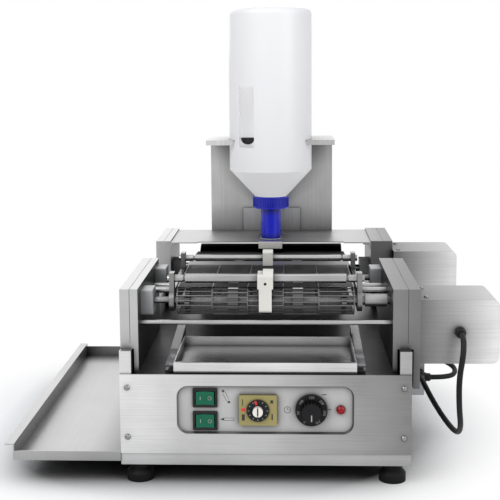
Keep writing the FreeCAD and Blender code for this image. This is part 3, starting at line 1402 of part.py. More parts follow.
def check_and_write():
    """Refuse a broken model, then write one file per node."""
    doc.recompute()
    for thing in doc.Objects:
        if "Invalid" in thing.State or "Error" in thing.State:
            raise ValueError("failed: " + thing.Label)
    os.makedirs("parts", exist_ok=True)
    for part in parts:
        if part.Shape.isNull() or not part.Shape.isValid():
            raise ValueError("bad shape: " + part.Label)
        part.Shape.exportStep(f"parts/{part.Label}.step")
        print(part.Label, len(part.Shape.Solids), round(part.Shape.Volume))


base_shell()
front_panel()
control_plate()
deck_plate()
feet()
screws_so_far = panel_screws()
switches()
timer()
thermostat()
pilot_lamp()
side_frames()
bearing_blocks()
conveyor_side_plates()
rods_and_ties()
shafts()
wire_belt()
belt_supports()
stripper_guides()
drip_pan()
side_tray()
drum()
transfer_plate()
top_plate()
dosing_shoe()
bottle_bracket()
bottle()
gearmotors(screws_so_far)
terminal_box()
glands()
power_inlet()
cords()
check_and_write()
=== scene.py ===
import json
import math

import bpy
from mathutils import Matrix, Vector


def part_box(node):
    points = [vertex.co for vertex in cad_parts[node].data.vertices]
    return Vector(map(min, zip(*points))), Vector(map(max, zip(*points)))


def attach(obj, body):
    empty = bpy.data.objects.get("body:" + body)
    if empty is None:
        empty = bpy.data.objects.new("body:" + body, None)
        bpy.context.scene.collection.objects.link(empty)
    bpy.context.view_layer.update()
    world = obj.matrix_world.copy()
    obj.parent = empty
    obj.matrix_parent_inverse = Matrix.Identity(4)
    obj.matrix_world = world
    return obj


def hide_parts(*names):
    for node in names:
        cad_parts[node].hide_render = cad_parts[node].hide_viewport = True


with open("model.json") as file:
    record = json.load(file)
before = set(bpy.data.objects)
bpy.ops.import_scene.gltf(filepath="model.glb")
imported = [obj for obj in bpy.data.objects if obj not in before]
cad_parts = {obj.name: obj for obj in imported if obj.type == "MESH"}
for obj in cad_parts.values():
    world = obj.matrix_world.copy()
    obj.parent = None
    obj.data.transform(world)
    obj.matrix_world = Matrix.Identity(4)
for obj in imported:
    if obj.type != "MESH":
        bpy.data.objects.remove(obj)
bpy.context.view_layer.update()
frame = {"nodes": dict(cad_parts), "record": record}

# Everything is in metres in the row frame: x to the right, y to the back, z up.
MM = 0.001
# How far a printed mark stands in front of the face that it is on.
PROUD = 0.03 * MM
# The band in which noise mostly falls.
NOISE_LOW, NOISE_HIGH = 0.3, 0.7


# Meshes, materials and shader nodes

def new_mesh(name, corners, faces):
    mesh = bpy.data.meshes.new(name)
    mesh.from_pydata(corners, [], faces)
    mesh.update()
    return bpy.data.objects.new(name, mesh)


def new_material(name):
    material = bpy.data.materials.new(name)
    material.use_nodes = True
    return material, material.node_tree


def add_node(tree, kind, inputs=None, **settings):
    """One shader node, its inputs either linked to a socket or set to a plain value."""
    node = tree.nodes.new(kind)
    for name, value in settings.items():
        setattr(node, name, value)
    for name, value in (inputs or {}).items():
        if isinstance(value, bpy.types.NodeSocket):
            tree.links.new(value, node.inputs[name])
        else:
            node.inputs[name].default_value = value
    return node


def calculate(tree, operation, *values):
    """The result of one math operation on sockets and plain numbers."""
    return add_node(tree, "ShaderNodeMath", dict(enumerate(values)), operation=operation).outputs[0]


def ramp(tree, value, start, end, low, high):
    """A number that goes from low to high as the value goes from start to end."""
    ends = {"Value": value, "From Min": start, "From Max": end, "To Min": low, "To Max": high}
    return add_node(tree, "ShaderNodeMapRange", ends).outputs[0]


def split(tree, vector):
    """The x, y and z of a vector."""
    return add_node(tree, "ShaderNodeSeparateXYZ", {0: vector}).outputs


def object_place(tree):
    """Where a point is in the object's own coordinates."""
    return add_node(tree, "ShaderNodeTexCoord").outputs["Object"]


def surface_normal(tree):
    """The x, y and z of the way that a surface faces."""
    return split(tree, add_node(tree, "ShaderNodeNewGeometry").outputs["Normal"])


def openness(tree, reach):
    """A number that is 1 in the open and falls in corners and hollows closer than reach."""
    return add_node(tree, "ShaderNodeAmbientOcclusion", {"Distance": reach}, samples=8).outputs["AO"]


def noise(tree, scale, detail, stretch=(1, 1, 1)):
    """Noise in the object's own coordinates, drawn out along the axes with small stretch."""
    drawn = add_node(tree, "ShaderNodeMapping", {"Scale": stretch, "Vector": object_place(tree)}).outputs[0]
    grains = {"Scale": scale, "Detail": detail, "Vector": drawn}
    return add_node(tree, "ShaderNodeTexNoise", grains).outputs["Fac"]


def spread(tree, value, low, high):
    """Map noise to a range of numbers."""
    return ramp(tree, value, NOISE_LOW, NOISE_HIGH, low, high)


def blend_colours(tree, value, dark, light):
    """Map noise to the colours between two."""
    blend = add_node(tree, "ShaderNodeValToRGB", {"Fac": value})
    for stop, place, colour in zip(blend.color_ramp.elements, (NOISE_LOW, NOISE_HIGH), (dark, light)):
        stop.position = place
        stop.color = (*colour, 1)
    return blend.outputs["Color"]


def scaled(tree, colour, share):
    """A colour times a number."""
    return add_node(tree, "ShaderNodeVectorMath", {0: colour, "Scale": share}, operation="SCALE").outputs[0]


def add_bump(tree, shader, height, strength, distance=0.2 * MM):
    """Let a height pattern tilt the shader's surface."""
    bump = add_node(tree, "ShaderNodeBump", {"Strength": strength, "Distance": distance, "Height": height})
    tree.links.new(bump.outputs[0], shader.inputs["Normal"])


# Camera and light

def add_camera():
    """The photograph's own viewpoint, with the small lens shift that keeps uprights nearly parallel."""
    place = (0.0511, -1.5257, 0.5162)
    degrees = (82.868, 0.409, 2.159)
    data = bpy.data.cameras.new("camera")
    data.sensor_width = 36
    data.lens = 76.43
    data.shift_y = -0.1
    camera = bpy.data.objects.new("camera", data)
    camera.location = place
    camera.rotation_euler = [math.radians(angle) for angle in degrees]
    bpy.context.scene.collection.objects.link(camera)
    bpy.context.scene.camera = camera


def add_light(name, place, size, watts):
    """A soft lamp that looks at the middle of the machine."""
    aim = Vector((0, 0, 0.2))
    data = bpy.data.lights.new(name, "AREA")
    data.shape = "RECTANGLE"
    data.size, data.size_y = size
    data.energy = watts
    lamp = bpy.data.objects.new(name, data)
    lamp.location = place
    lamp.rotation_euler = (aim - Vector(place)).to_track_quat("-Z", "Y").to_euler()
    bpy.context.scene.collection.objects.link(lamp)


def add_world():
    """Pale ambient light; straight, mirrored and refracted views of it are white."""
    pale, strength = (0.93, 0.95, 1.0, 1), 0.55
    world = bpy.data.worlds.new("world")
    bpy.context.scene.world = world
    world.use_nodes = True
    tree = world.node_tree
    tree.nodes.clear()
    ambient = add_node(tree, "ShaderNodeBackground", {"Color": pale, "Strength": strength}).outputs[0]
    white = add_node(tree, "ShaderNodeBackground", {"Color": (1, 1, 1, 1), "Strength": 1.0}).outputs[0]
    rays = add_node(tree, "ShaderNodeLightPath").outputs
    seen = calculate(tree, "MAXIMUM", rays["Is Camera Ray"], rays["Is Glossy Ray"])
    seen = calculate(tree, "MAXIMUM", seen, rays["Is Transmission Ray"])
    both = add_node(tree, "ShaderNodeMixShader", {"Fac": seen, 1: ambient, 2: white}).outputs[0]
    add_node(tree, "ShaderNodeOutputWorld", {"Surface": both})


def add_floor():
    """Pale floor that turns to pure white away from the object and keeps its shadow, with a painted contact
    shadow that darkens it near the object.
    """
    half, below_feet = 4.0, 0.0002
    grey, shadow_reach = (0.9, 0.9, 0.9, 1), 90 * MM
    shift, fade_start, fade_end = (0.06, 0, 0), 0.31, 0.43
    corners = [(-half, -half, 0), (half, -half, 0), (half, half, 0), (-half, half, 0)]
    floor = new_mesh("floor", corners, [(0, 1, 2, 3)])
    floor.location.z = -below_feet
    bpy.context.scene.collection.objects.link(floor)
    material, tree = new_material("floor_white")
    tree.nodes.clear()
    # Painted contact shadow: the floor's colour darkens near the machine.
    near = {"Distance": shadow_reach, "Color": grey}
    painted_contact_shadow = add_node(tree, "ShaderNodeAmbientOcclusion", near, samples=8).outputs["Color"]
    matte = add_node(tree, "ShaderNodeBsdfDiffuse", {"Color": painted_contact_shadow}).outputs[0]
    glow = add_node(tree, "ShaderNodeEmission", {"Strength": 1.0}).outputs[0]
    shifted = {0: object_place(tree), 1: shift}
    centred = add_node(tree, "ShaderNodeVectorMath", shifted, operation="ADD").outputs[0]
    away = add_node(tree, "ShaderNodeVectorMath", {0: centred}, operation="LENGTH").outputs["Value"]
    fade = ramp(tree, away, fade_start, fade_end, 0.0, 1.0)
    both = add_node(tree, "ShaderNodeMixShader", {"Fac": fade, 1: matte, 2: glow}).outputs[0]
    add_node(tree, "ShaderNodeOutputMaterial", {"Surface": both})
    floor.data.materials.append(material)


# Materials

def facing_up(tree, start, end, low, high):
    """A number that goes from low to high as a surface turns to face up."""
    return ramp(tree, surface_normal(tree)["Z"], start, end, low, high)


def facing_in(tree, dim):
    """Painted shade: a number that falls from 1 to dim on faces that look towards the machine's middle."""
    side = calculate(tree, "SIGN", split(tree, object_place(tree))["X"])
    outward = calculate(tree, "MULTIPLY", side, surface_normal(tree)["X"])
    return ramp(tree, outward, -0.9, -0.5, dim, 1.0)


def shaded(tree, colour, reach, tone=None):
    """Painted shade: darken a colour in corners and hollows and, with tone, paint light and shade across the
    width.

    tone is the left and the right x of the painted change, and the colour's share at each.
    """
    contrast = 1.4
    depth = calculate(tree, "POWER", openness(tree, reach), contrast)
    if tone is not None:
        across = ramp(tree, split(tree, object_place(tree))["X"], *tone)
        depth = calculate(tree, "MULTIPLY", across, depth)
    return scaled(tree, colour, depth)


def brushed(name, grey, grain, rough=(0.26, 0.42), tint=(1, 1, 1), bump=0.12, tone=None, reach=50 * MM,
            inner=None):
    """Brushed sheet: fine streaks along the grain, broad faint smears over them, painted shade in hollows and
    across the width, and tops painted darker for a dark reflection.

    grain names the axes that the streaks run along, and inner is the colour's share on faces that look
    inwards, where shade is painted.
    """
    along, across = 12, 900
    smear_weight, streak_weight = 0.65, 0.35
    darkest, lightest, top_painted_shade = 0.78, 1.18, 0.72
    material, tree = new_material(name)
    shader = tree.nodes["Principled BSDF"]
    shader.inputs["Metallic"].default_value = 1.0
    stretch = tuple(along if axis in grain else across for axis in "xyz")
    streaks = noise(tree, scale=1.0, detail=3.0, stretch=stretch)
    smears = noise(tree, scale=9.0, detail=3.0)
    faint = calculate(tree, "MULTIPLY", streaks, streak_weight)
    both = calculate(tree, "MULTIPLY_ADD", smears, smear_weight, faint)
    dark = [grey * darkest * part for part in tint]
    light = [min(1, grey * lightest * part) for part in tint]
    # Painted shade in corners and hollows, and with tone painted light and shade across the width.
    colour = shaded(tree, blend_colours(tree, both, dark, light), reach, tone)
    # Painted shade: tops darker for a dark reflection, and with inner the faces that look towards the middle.
    share = facing_up(tree, 0.5, 0.95, 1.0, top_painted_shade)
    if inner is not None:
        share = calculate(tree, "MULTIPLY", share, facing_in(tree, inner))
    tree.links.new(scaled(tree, colour, share), shader.inputs["Base Color"])
    tree.links.new(spread(tree, both, *rough), shader.inputs["Roughness"])
    add_bump(tree, shader, streaks, bump)
    return material


def turned_metal(name, grey, rough=(0.18, 0.32)):
    """Ground or turned metal with fine rings round x."""
    return brushed(name, grey, "yz", rough, bump=0.08)


def plastic(name, colour, rough=(0.35, 0.5), grain=900.0, bump=0.05, coat=0.0, reach=12 * MM):
    """Moulded plastic with a fine texture, slight unevenness of colour and painted shade in hollows; dark
    colours shine less.
    """
    darkest, lightest = 0.9, 1.06
    material, tree = new_material(name)
    shader = tree.nodes["Principled BSDF"]
    cloud = noise(tree, scale=14.0, detail=5.0)
    dark = [part * darkest for part in colour]
    light = [min(1, part * lightest) for part in colour]
    # Painted shade in corners and hollows.
    tinted = shaded(tree, blend_colours(tree, cloud, dark, light), reach)
    tree.links.new(tinted, shader.inputs["Base Color"])
    tree.links.new(spread(tree, cloud, *rough), shader.inputs["Roughness"])
    shader.inputs["Coat Weight"].default_value = coat
    shader.inputs["Specular IOR Level"].default_value = 0.16 + 0.34 * max(colour)
    add_bump(tree, shader, noise(tree, scale=grain, detail=2.0), bump)
    return material


def lit_plastic(name, colour, glow):
    """Clear coloured plastic with a lamp behind it; print_red glows the same way, which on the timer's
    printed pointer is painted light.
    """
    material = plastic(name, colour, rough=(0.15, 0.25), coat=0.15)
    shader = material.node_tree.nodes["Principled BSDF"]
    shader.inputs["Emission Color"].default_value = (*colour, 1)
    shader.inputs["Emission Strength"].default_value = glow
    return material


def milky(name, colour, glow, hollow_glow, under_glow):
    """Natural bottle plastic, partly see-through: painted glow stands for light through it, most in hollows
    and below, and painted shade darkens its edges.
    """
    edge_painted_shade, hollow_reach = 0.72, 60 * MM
    material, tree = new_material(name)
    shader = tree.nodes["Principled BSDF"]
    # Painted shade: the colour darkens towards the edges.
    edge = add_node(tree, "ShaderNodeLayerWeight", {"Blend": 0.35}).outputs["Facing"]
    dark = [part * edge_painted_shade for part in colour]
    ends = {"Factor": edge, "A": (*colour, 1), "B": (*dark, 1)}
    fade = add_node(tree, "ShaderNodeMix", ends, data_type="RGBA").outputs["Result"]
    tree.links.new(fade, shader.inputs["Base Color"])
    tree.links.new(fade, shader.inputs["Emission Color"])
    shader.inputs["Subsurface Weight"].default_value = 0.4
    shader.inputs["Subsurface Radius"].default_value = (0.02, 0.02, 0.02)
    # Painted glow in hollows and on faces that look down, for light through the plastic.
    painted_hollow_glow = ramp(tree, openness(tree, hollow_reach), 0.2, 1.0, glow + hollow_glow, glow)
    total = calculate(tree, "ADD", painted_hollow_glow, facing_up(tree, -0.6, -0.2, under_glow, 0.0))
    tree.links.new(total, shader.inputs["Emission Strength"])
    cloud = noise(tree, scale=22.0, detail=2.0)
    tree.links.new(spread(tree, cloud, 0.3, 0.42), shader.inputs["Roughness"])
    add_bump(tree, shader, noise(tree, scale=160.0, detail=1.0), 0.04, 0.3 * MM)
    return material


def white_with_painted_shade(name, lit, dim):
    """White plastic inside the belt with painted light and shade: bright only where it faces up between the
    wires, dark elsewhere.
    """
    material, tree = new_material(name)
    shader = tree.nodes["Principled BSDF"]
    upward = facing_up(tree, 0.86, 0.97, 0.0, 1.0)
    tree.links.new(blend_colours(tree, upward, dim, lit), shader.inputs["Base Color"])
    cloud = noise(tree, scale=60.0, detail=3.0)
    tree.links.new(spread(tree, cloud, 0.4, 0.55), shader.inputs["Roughness"])
    add_bump(tree, shader, noise(tree, scale=900.0, detail=2.0), 0.05)
    return material


# The looks of the record's slots and of the printed marks, by the function that makes each.
# tone paints light and shade across the width, and inner paints shade on faces that look towards the middle.
BRUSHED = {
    "case_steel": dict(grey=0.54, grain="xy", tone=(-0.2, 0.22, 1.3, 0.8)),
    "panel_steel": dict(grey=0.52, grain="x", rough=(0.3, 0.46), bump=0.05, tone=(-0.17, 0.2, 1.45, 0.45)),
    # deck_steel is near black: painted shade on a steel deck that lies in shadow.
    "deck_steel": dict(grey=0.07, grain="x", rough=(0.3, 0.5)),
    "frame_steel": dict(grey=0.5, grain="y", rough=(0.28, 0.42), tone=(-0.16, 0.2, 1.02, 0.42),
                        reach=70 * MM, inner=0.3),
    "tray_steel": dict(grey=0.44, grain="y", rough=(0.26, 0.4), tone=(-0.31, -0.17, 1.05, 0.88)),
    "pan_steel": dict(grey=0.68, grain="x", rough=(0.22, 0.36), reach=12 * MM),
    "plate_steel": dict(grey=0.46, grain="x", rough=(0.34, 0.48)),
    "bracket_steel": dict(grey=0.55, grain="z", rough=(0.34, 0.48), tone=(-0.1, 0.12, 1.1, 0.85)),
    "chute_steel": dict(grey=0.2, grain="x", rough=(0.34, 0.5)),
    "cover_steel": dict(grey=0.5, grain="x", rough=(0.3, 0.44), tone=(0.21, 0.3, 0.35, 1.5)),
    "cheek_steel": dict(grey=0.26, grain="y"),
    "rod_steel": dict(grey=0.42, grain="x", rough=(0.16, 0.28), bump=0.03, reach=12 * MM),
    "heater_steel": dict(grey=0.3, grain="x", tint=(1, 0.9, 0.8)),
    "drum_metal": dict(grey=0.16, grain="x", rough=(0.35, 0.5)),
}
TURNED = {
    "shaft_steel": dict(grey=0.44),
    "sprocket_steel": dict(grey=0.22),
    "sleeve_steel": dict(grey=0.3),
    "bolt_steel": dict(grey=0.5),
    "screw_steel": dict(grey=0.3),
    "coupling_aluminium": dict(grey=0.48, rough=(0.3, 0.42)),
    "thermostat_metal": dict(grey=0.5),
    "belt_wire": dict(grey=0.2, rough=(0.24, 0.4)),
}
PLASTIC = {
    "rail_film": dict(colour=(0.09, 0.09, 0.1), rough=(0.18, 0.4), grain=60.0, bump=0.4, coat=0.3),
    "control_face": dict(colour=(0.47, 0.467, 0.46), rough=(0.3, 0.42), grain=1400.0),
    "bearing_light": dict(colour=(0.42, 0.43, 0.43), rough=(0.4, 0.55), reach=25 * MM),
    "white_plastic": dict(colour=(0.66, 0.645, 0.6), reach=30 * MM),
    "foot_rubber": dict(colour=(0.008, 0.008, 0.009), rough=(0.55, 0.75), bump=0.3),
    "cord_black": dict(colour=(0.009, 0.009, 0.01), rough=(0.4, 0.55), grain=1500.0, bump=0.15),
    "gland_black": dict(colour=(0.01, 0.01, 0.011)),
    "inlet_black": dict(colour=(0.018, 0.018, 0.02)),
    "switch_black": dict(colour=(0.012, 0.012, 0.013), rough=(0.22, 0.34), coat=0.2),
    "dial_black": dict(colour=(0.009, 0.009, 0.01)),
    "timer_ring_black": dict(colour=(0.018, 0.018, 0.018), rough=(0.4, 0.55)),
    "timer_face": dict(colour=(0.31, 0.265, 0.105), rough=(0.3, 0.42), bump=0.08),
    "timer_knob_white": dict(colour=(0.78, 0.75, 0.7), rough=(0.3, 0.42)),
    "motor_metal": dict(colour=(0.1, 0.1, 0.11)),
    "box_grey": dict(colour=(0.4, 0.41, 0.43), rough=(0.4, 0.55)),
    "cap_blue": dict(colour=(0.006, 0.014, 0.5), rough=(0.25, 0.38), coat=0.2),
    "print_dark": dict(colour=(0.045, 0.045, 0.045), rough=(0.5, 0.6)),
    "print_white": dict(colour=(0.36, 0.36, 0.36), rough=(0.5, 0.6)),
}
LIT_PLASTIC = {
    "rocker_green": dict(colour=(0.0, 0.11, 0.055), glow=0.1),
    "lamp_red": dict(colour=(0.22, 0.0, 0.004), glow=0.15),
    # print_red also glows on the printed timer pointer: painted light, with no lamp behind it.
    "print_red": dict(colour=(0.6, 0.02, 0.03), glow=0.2),
}
MILKY = {
    "bottle_plastic": dict(colour=(0.75, 0.75, 0.757), glow=0.08, hollow_glow=0.22, under_glow=0.3),
}


def make_materials():
    """One material for each slot of the record, and three for printed marks."""
    kinds = ((brushed, BRUSHED), (turned_metal, TURNED), (plastic, PLASTIC), (lit_plastic, LIT_PLASTIC),
             (milky, MILKY))
    return {name: make(name, **values) for make, table in kinds for name, values in table.items()}


def dress_nodes(looks):
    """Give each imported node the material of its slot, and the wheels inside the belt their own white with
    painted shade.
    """
    inside = white_with_painted_shade("wheel_white_painted_shade", (0.82, 0.81, 0.78), (0.07, 0.07, 0.07))
    for entry in frame["record"]["subparts"]:
        node = frame["nodes"][entry["node"]]
        look = inside if entry["node"] in ("drive_wheels", "idler_wheels") else looks[entry["material_slot"]]
        if not node.material_slots:
            node.data.materials.append(look)
        for place in node.material_slots:
            place.material = look


# Cords

def cord_curve(name, points, body, node, looks):
    """One smooth spline with the route's points as its control points."""
    data = bpy.data.curves.new(name, "CURVE")
    data.dimensions = "3D"
    data.bevel_depth = 3.5 * MM
    data.bevel_resolution = 6
    data.resolution_u = 16
    spline = data.splines.new("NURBS")
    spline.points.add(len(points) - 1)
    for target, point in zip(spline.points, points):
        target.co = (*point, 1)
    spline.order_u = 3
    spline.use_endpoint_u = True
    cord = bpy.data.objects.new(name, data)
    data.materials.append(looks["cord_black"])
    bpy.context.scene.collection.objects.link(cord)
    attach(cord, body)
    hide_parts(node)


def cable_route(gland, leaving, port, arriving):
    """A cable's points: steps in mm from the gland that it leaves, then from the port that it enters."""
    return [gland + Vector(step) * MM for step in leaving] + [port + Vector(step) * MM for step in arriving]


def add_cords(looks):
    """The motor cables, through the same points as the solids they stand for."""
    gland, port = Vector((0.2585, -0.25725, 0.192)), Vector((0.2262, -0.12075, 0.0996))
    leaving = [(0, 0, 0), (0, -15.5, 0), (-2, -28.5, -17), (-7, -29.5, -47), (-5, -21.5, -85),
               (1, -1.5, -117)]
    arriving = [(34, -104, -44), (25, -68, -40), (12, -44, -22), (0, -24, 0), (0, 0, 0)]
    route = cable_route(gland, leaving, port, arriving)
    cord_curve("front_cable", route, "machine", "front_motor_cord", looks)
    gland, port = Vector((0.2682, 0.14375, 0.140)), Vector((0.245, -0.08175, 0.0864))
    leaving = [(0, 0, 0), (0, 0, -22), (-4, -16, -41), (-12, -46, -49), (-20, -80, -47)]
    arriving = [(0, 111, 12), (4, 77, 14), (18, 53, 12), (38, 35, 6), (36, 11, 1), (19, 0, 0), (0, 0, 0)]
    route = cable_route(gland, leaving, port, arriving)
    cord_curve("rear_cable", route, "machine", "rear_motor_cord", looks)


# Printed marks and small trim

def join(piece, look, body):
    """Put a piece into the scene, with its look, on its body and in its slot."""
    piece.data.materials.append(look)
    bpy.context.scene.collection.objects.link(piece)
    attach(piece, body)


def flat_piece(name, polygons, look, body, thickness=0.12 * MM):
    """Thin shapes as one mesh; each polygon is a list of corners in the row frame."""
    corners, faces = [], []
    for polygon in polygons:
        faces.append(list(range(len(corners), len(corners) + len(polygon))))
        corners += [tuple(point) for point in polygon]
    piece = new_mesh(name, corners, faces)
    solid = piece.modifiers.new("thickness", "SOLIDIFY")
    solid.thickness = thickness
    solid.offset = 0
    join(piece, look, body)


def bar(centre, y, angle, inner, outer, width):
    """A radial tick in the plane y, from the inner to the outer radius."""
    along = Vector((math.sin(angle), 0, math.cos(angle)))
    side = Vector((along.z, 0, -along.x)) * width / 2
    middle = Vector((centre[0], y, centre[1]))
    return [middle + along * inner - side, middle + along * inner + side,
            middle + along * outer + side, middle + along * outer - side]


def patch(left, low, right, high, y):
    """A rectangle in the plane y."""
    return [(left, y, low), (right, y, low), (right, y, high), (left, y, high)]


def stroke(points, width, y):
    """Flat quads along a drawn line in the plane y."""
    quads = []
    for (ax, az), (bx, bz) in zip(points, points[1:]):
        a, b = Vector((ax, y, az)), Vector((bx, y, bz))
        way = (b - a).normalized()
        side = Vector((way.z, 0, -way.x)) * width / 2
        quads.append([a - side, a + side, b + side, b - side])
    return quads


def circle(centre, radius, steps):
    """Points round a circle, with the first one again at the end."""
    turns = [2 * math.pi * n / steps for n in range(steps + 1)]
    return [(centre[0] + math.cos(a) * radius, centre[1] + math.sin(a) * radius) for a in turns]


def front_centre(low, high):
    """The x and z of the middle of a box, as seen from the front."""
    return (low.x + high.x) / 2, (low.z + high.z) / 2


def numeral(text, place, size, look, body, turn):
    """One printed number that faces the front."""
    data = bpy.data.curves.new("number_" + text, "FONT")
    data.body = text
    data.size = size
    data.extrude = 0.06 * MM
    data.align_x = "CENTER"
    data.align_y = "CENTER"
    piece = bpy.data.objects.new("number_" + text, data)
    spin = Matrix.Rotation(turn, 4, "Y")
    piece.matrix_world = Matrix.Translation(place) @ spin @ Matrix.Rotation(math.pi / 2, 4, "X")
    join(piece, look, body)


def mark_dial(looks):
    """Plain numbers round the thermostat dial's skirt, and its pointer on the grip."""
    ring, letter_height, skirt_step = 16.3 * MM, 4.6 * MM, 12 * MM
    white = looks["print_white"]
    low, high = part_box("thermostat_knob")
    centre = front_centre(low, high)
    skirt = low.y + skirt_step - PROUD
    for step in range(7):
        angle = math.radians(-150 + step * 50)
        place = Vector((centre[0] + math.sin(angle) * ring, skirt, centre[1] + math.cos(angle) * ring))
        numeral(str(step * 50), place, letter_height, white, "thermostat_dial", angle)
    pointer = bar(centre, low.y - PROUD, math.radians(180), inner=2 * MM, outer=10 * MM, width=1.4 * MM)
    flat_piece("dial_pointer", [pointer], white, "thermostat_dial")


def mark_timer(looks):
    """Ticks on the scale ring, a red pointer on it and plain marks on the face."""
    low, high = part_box("timer_scale_ring")
    centre = front_centre(low, high)
    ring = low.y - PROUD
    ticks = [bar(centre, ring, math.radians(degrees), inner=10.6 * MM, outer=12.6 * MM, width=0.7 * MM)
             for degrees in range(30, 331, 30)]
    flat_piece("timer_ticks", ticks, looks["print_white"], "machine")
    pointer = bar(centre, ring, math.radians(-14), inner=7.4 * MM, outer=12.8 * MM, width=2.6 * MM)
    flat_piece("timer_pointer", [pointer], looks["print_red"], "machine")
    low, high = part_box("timer_housing")
    left, right, face = low.x, high.x, low.y - PROUD

    def mark(edge, start, bottom, end, top):
        """A patch on the face, in mm from one of its edges and above the ring's centre."""
        return patch(edge + start * MM, centre[1] + bottom * MM, edge + end * MM, centre[1] + top * MM, face)

    flat_piece("timer_lamp", [mark(left, 3, -1, 7.5, 2.8)], looks["print_red"], "machine")
    marks = [mark(left, 4, 6, 5, 14), mark(left, 3.6, -13, 7, -5),
             mark(right, -8, 9, -4.5, 13), mark(right, -6.6, -12, -5, -4.5)]
    flat_piece("timer_marks", marks, looks["print_dark"], "machine")
    knob_low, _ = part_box("timer_knob")
    half_width, half_length = 0.7 * MM, 4 * MM
    knob_slot = patch(centre[0] - half_width, centre[1] - half_length, centre[0] + half_width,
                      centre[1] + half_length, knob_low.y - PROUD)
    flat_piece("timer_knob_slot", [knob_slot], looks["print_dark"], "timer_dial")


def mark_panel(looks):
    """Plain pictograms printed beside the switches, the timer and the dial."""
    low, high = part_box("control_plate")
    middle, height = front_centre(low, high)
    y = low.y - PROUD
    thin, medium, bold = 0.4 * MM, 0.5 * MM, 0.8 * MM

    def spot(x, z):
        """A point on the plate, in mm from its middle."""
        return middle + x * MM, height + z * MM

    quads = []
    # a slanted chute with a wheel at each end, for the belt
    for shift in (-1.3, 1.3):
        quads += stroke([spot(-51 + shift, 21 + shift), spot(-46 + shift, 11 + shift)], thin, y)
    wheel_radius = 1.1 * MM
    for wheel in (spot(-52, 23), spot(-45, 9)):
        quads += stroke(circle(wheel, wheel_radius, 12), wheel_radius, y)
    # an arrow, for dosing
    quads.append([(x, y, z) for x, z in (spot(-56, -13), spot(-51, -14.8), spot(-51, -11.2))])
    quads += stroke([spot(-51, -14.6), spot(-39, -14.6)], thin, y)
    quads += stroke([spot(-51, -11.4), spot(-39, -11.4)], thin, y)
    quads += stroke([spot(-39, -14.6), spot(-39, -11.4)], thin, y)
    # a clock face by the timer
    clock = spot(27.5, -0.5)
    quads += stroke(circle(clock, 4 * MM, 24), medium, y)
    quads += stroke([spot(27.5, 2.1), clock, spot(29.5, -0.5)], medium, y)
    # the dial's index and a degree mark above it
    quads += stroke([spot(78, 0), spot(82, 0)], bold, y)
    quads += stroke([spot(70, 19), spot(76, 19)], bold, y)
    flat_piece("panel_symbols", quads, looks["print_dark"], "machine")


def mark_rockers(looks):
    """On and off marks printed on the two rockers."""
    half_line, ring_radius, inset = 2.2 * MM, 2.1 * MM, 0.42 * MM
    for switch in ("conveyor", "dosing"):
        node = switch + "_switch_rocker"
        low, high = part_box(node)
        x, z = front_centre(low, high)
        y = low.y + inset
        aside = (high.x - low.x) * 0.26
        line = stroke([(x - aside, z - half_line), (x - aside, z + half_line)], 0.9 * MM, y)
        ring = stroke(circle((x + aside, z), ring_radius, 16), 0.6 * MM, y)
        flat_piece(node + "_marks", line + ring, looks["print_white"], switch + "_rocker")


def mark_seams(looks):
    """The thin line where the two shells of each side frame meet, on its front and its top."""
    half_width, front_length = 0.25 * MM, 68 * MM
    for end in ("front", "rear"):
        for side, seam in (("left", -148.8 * MM), ("right", 195.3 * MM)):
            node = f"{end}_{side}_frame"
            low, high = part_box(node)
            start, stop, top = seam - half_width, seam + half_width, high.z + PROUD
            strips = [[(start, low.y, top), (stop, low.y, top), (stop, high.y, top), (start, high.y, top)]]
            if end == "front":
                strips.append(patch(start, high.z - front_length, stop, high.z, low.y - PROUD))
            flat_piece(node + "_seam", strips, looks["print_dark"], "machine")


def add_shelf_lips(looks):
    """The shelf's front edge, folded down on both sides of the bottle."""
    inner, outer, drop, ahead = 58 * MM, 101.5 * MM, 8 * MM, 0.4 * MM
    low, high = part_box("bottle_bracket")
    middle, _ = front_centre(*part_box("batter_bottle"))
    front = low.y - ahead
    lips = [patch(middle - outer, high.z - drop, middle - inner, high.z, front),
            patch(middle + inner, high.z - drop, middle + outer, high.z, front)]
    flat_piece("shelf_lips", lips, looks["bracket_steel"], "machine", thickness=1.0 * MM)


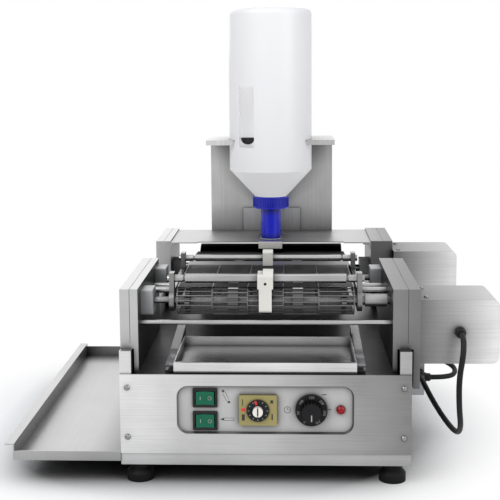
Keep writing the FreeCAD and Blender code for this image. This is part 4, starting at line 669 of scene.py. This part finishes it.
def add_painted_grip_shade(looks):
    """Painted shade: a dark rounded patch at the lower end of the bottle's grip recess, for the shaded
    bracket seen through the grip's opening.
    """
    left, right, web = -28.2 * MM, -6.8 * MM, 178.6 * MM
    bottom, top, shoulder, depth = 392.3 * MM, 404 * MM, 10 * MM, 9.5 * MM
    middle, radius = (left + right) / 2, (right - left) / 2
    turns = [math.pi * n / 12 for n in range(13)]
    curve = [(middle - radius * math.cos(a), web, bottom + shoulder - depth * math.sin(a)) for a in turns]
    flat_piece("grip_painted_shade", [curve + [(right, web, top), (left, web, top)]],
               looks["print_dark"], "bottle_unit")


def add_cap_ribs(looks):
    """Fine grip ribs round the blue cap's collar, each a bar with three sides."""
    low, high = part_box("bottle_cap")
    centre = (low + high) / 2
    radius = (high.x - low.x) / 2
    root, crest = radius - 0.6 * MM, radius + 0.7 * MM
    base, top = high.z - 17.5 * MM, high.z - 2 * MM
    ribs = 60
    half = math.pi / ribs * 0.5
    corners, faces = [], []
    for number in range(ribs):
        middle = 2 * math.pi * number / ribs
        first = len(corners)
        for z in (base, top):
            for angle, reach in ((middle - half, root), (middle, crest), (middle + half, root)):
                corners.append((centre.x + math.cos(angle) * reach, centre.y + math.sin(angle) * reach, z))
        a, b, c, d, e, f = range(first, first + 6)
        faces += [(a, b, e, d), (b, c, f, e), (c, a, d, f), (c, b, a), (d, e, f)]
    join(new_mesh("cap_ribs", corners, faces), looks["cap_blue"], "bottle_unit")


bpy.context.scene.view_settings.view_transform = "Standard"
add_camera()
add_world()
add_floor()
add_light("key", place=(-1.1, -1.3, 1.6), size=(1.2, 1.2), watts=21)
add_light("fill", place=(1.4, -1.0, 1.0), size=(1.0, 1.4), watts=12)
add_light("top", place=(0.0, 0.2, 2.0), size=(1.8, 1.6), watts=7)
add_light("back", place=(-0.4, 1.9, 1.1), size=(1.6, 1.2), watts=7)
looks = make_materials()
dress_nodes(looks)
add_cords(looks)
mark_dial(looks)
mark_timer(looks)
mark_panel(looks)
mark_rockers(looks)
mark_seams(looks)
add_shelf_lips(looks)
add_painted_grip_shade(looks)
add_cap_ribs(looks)
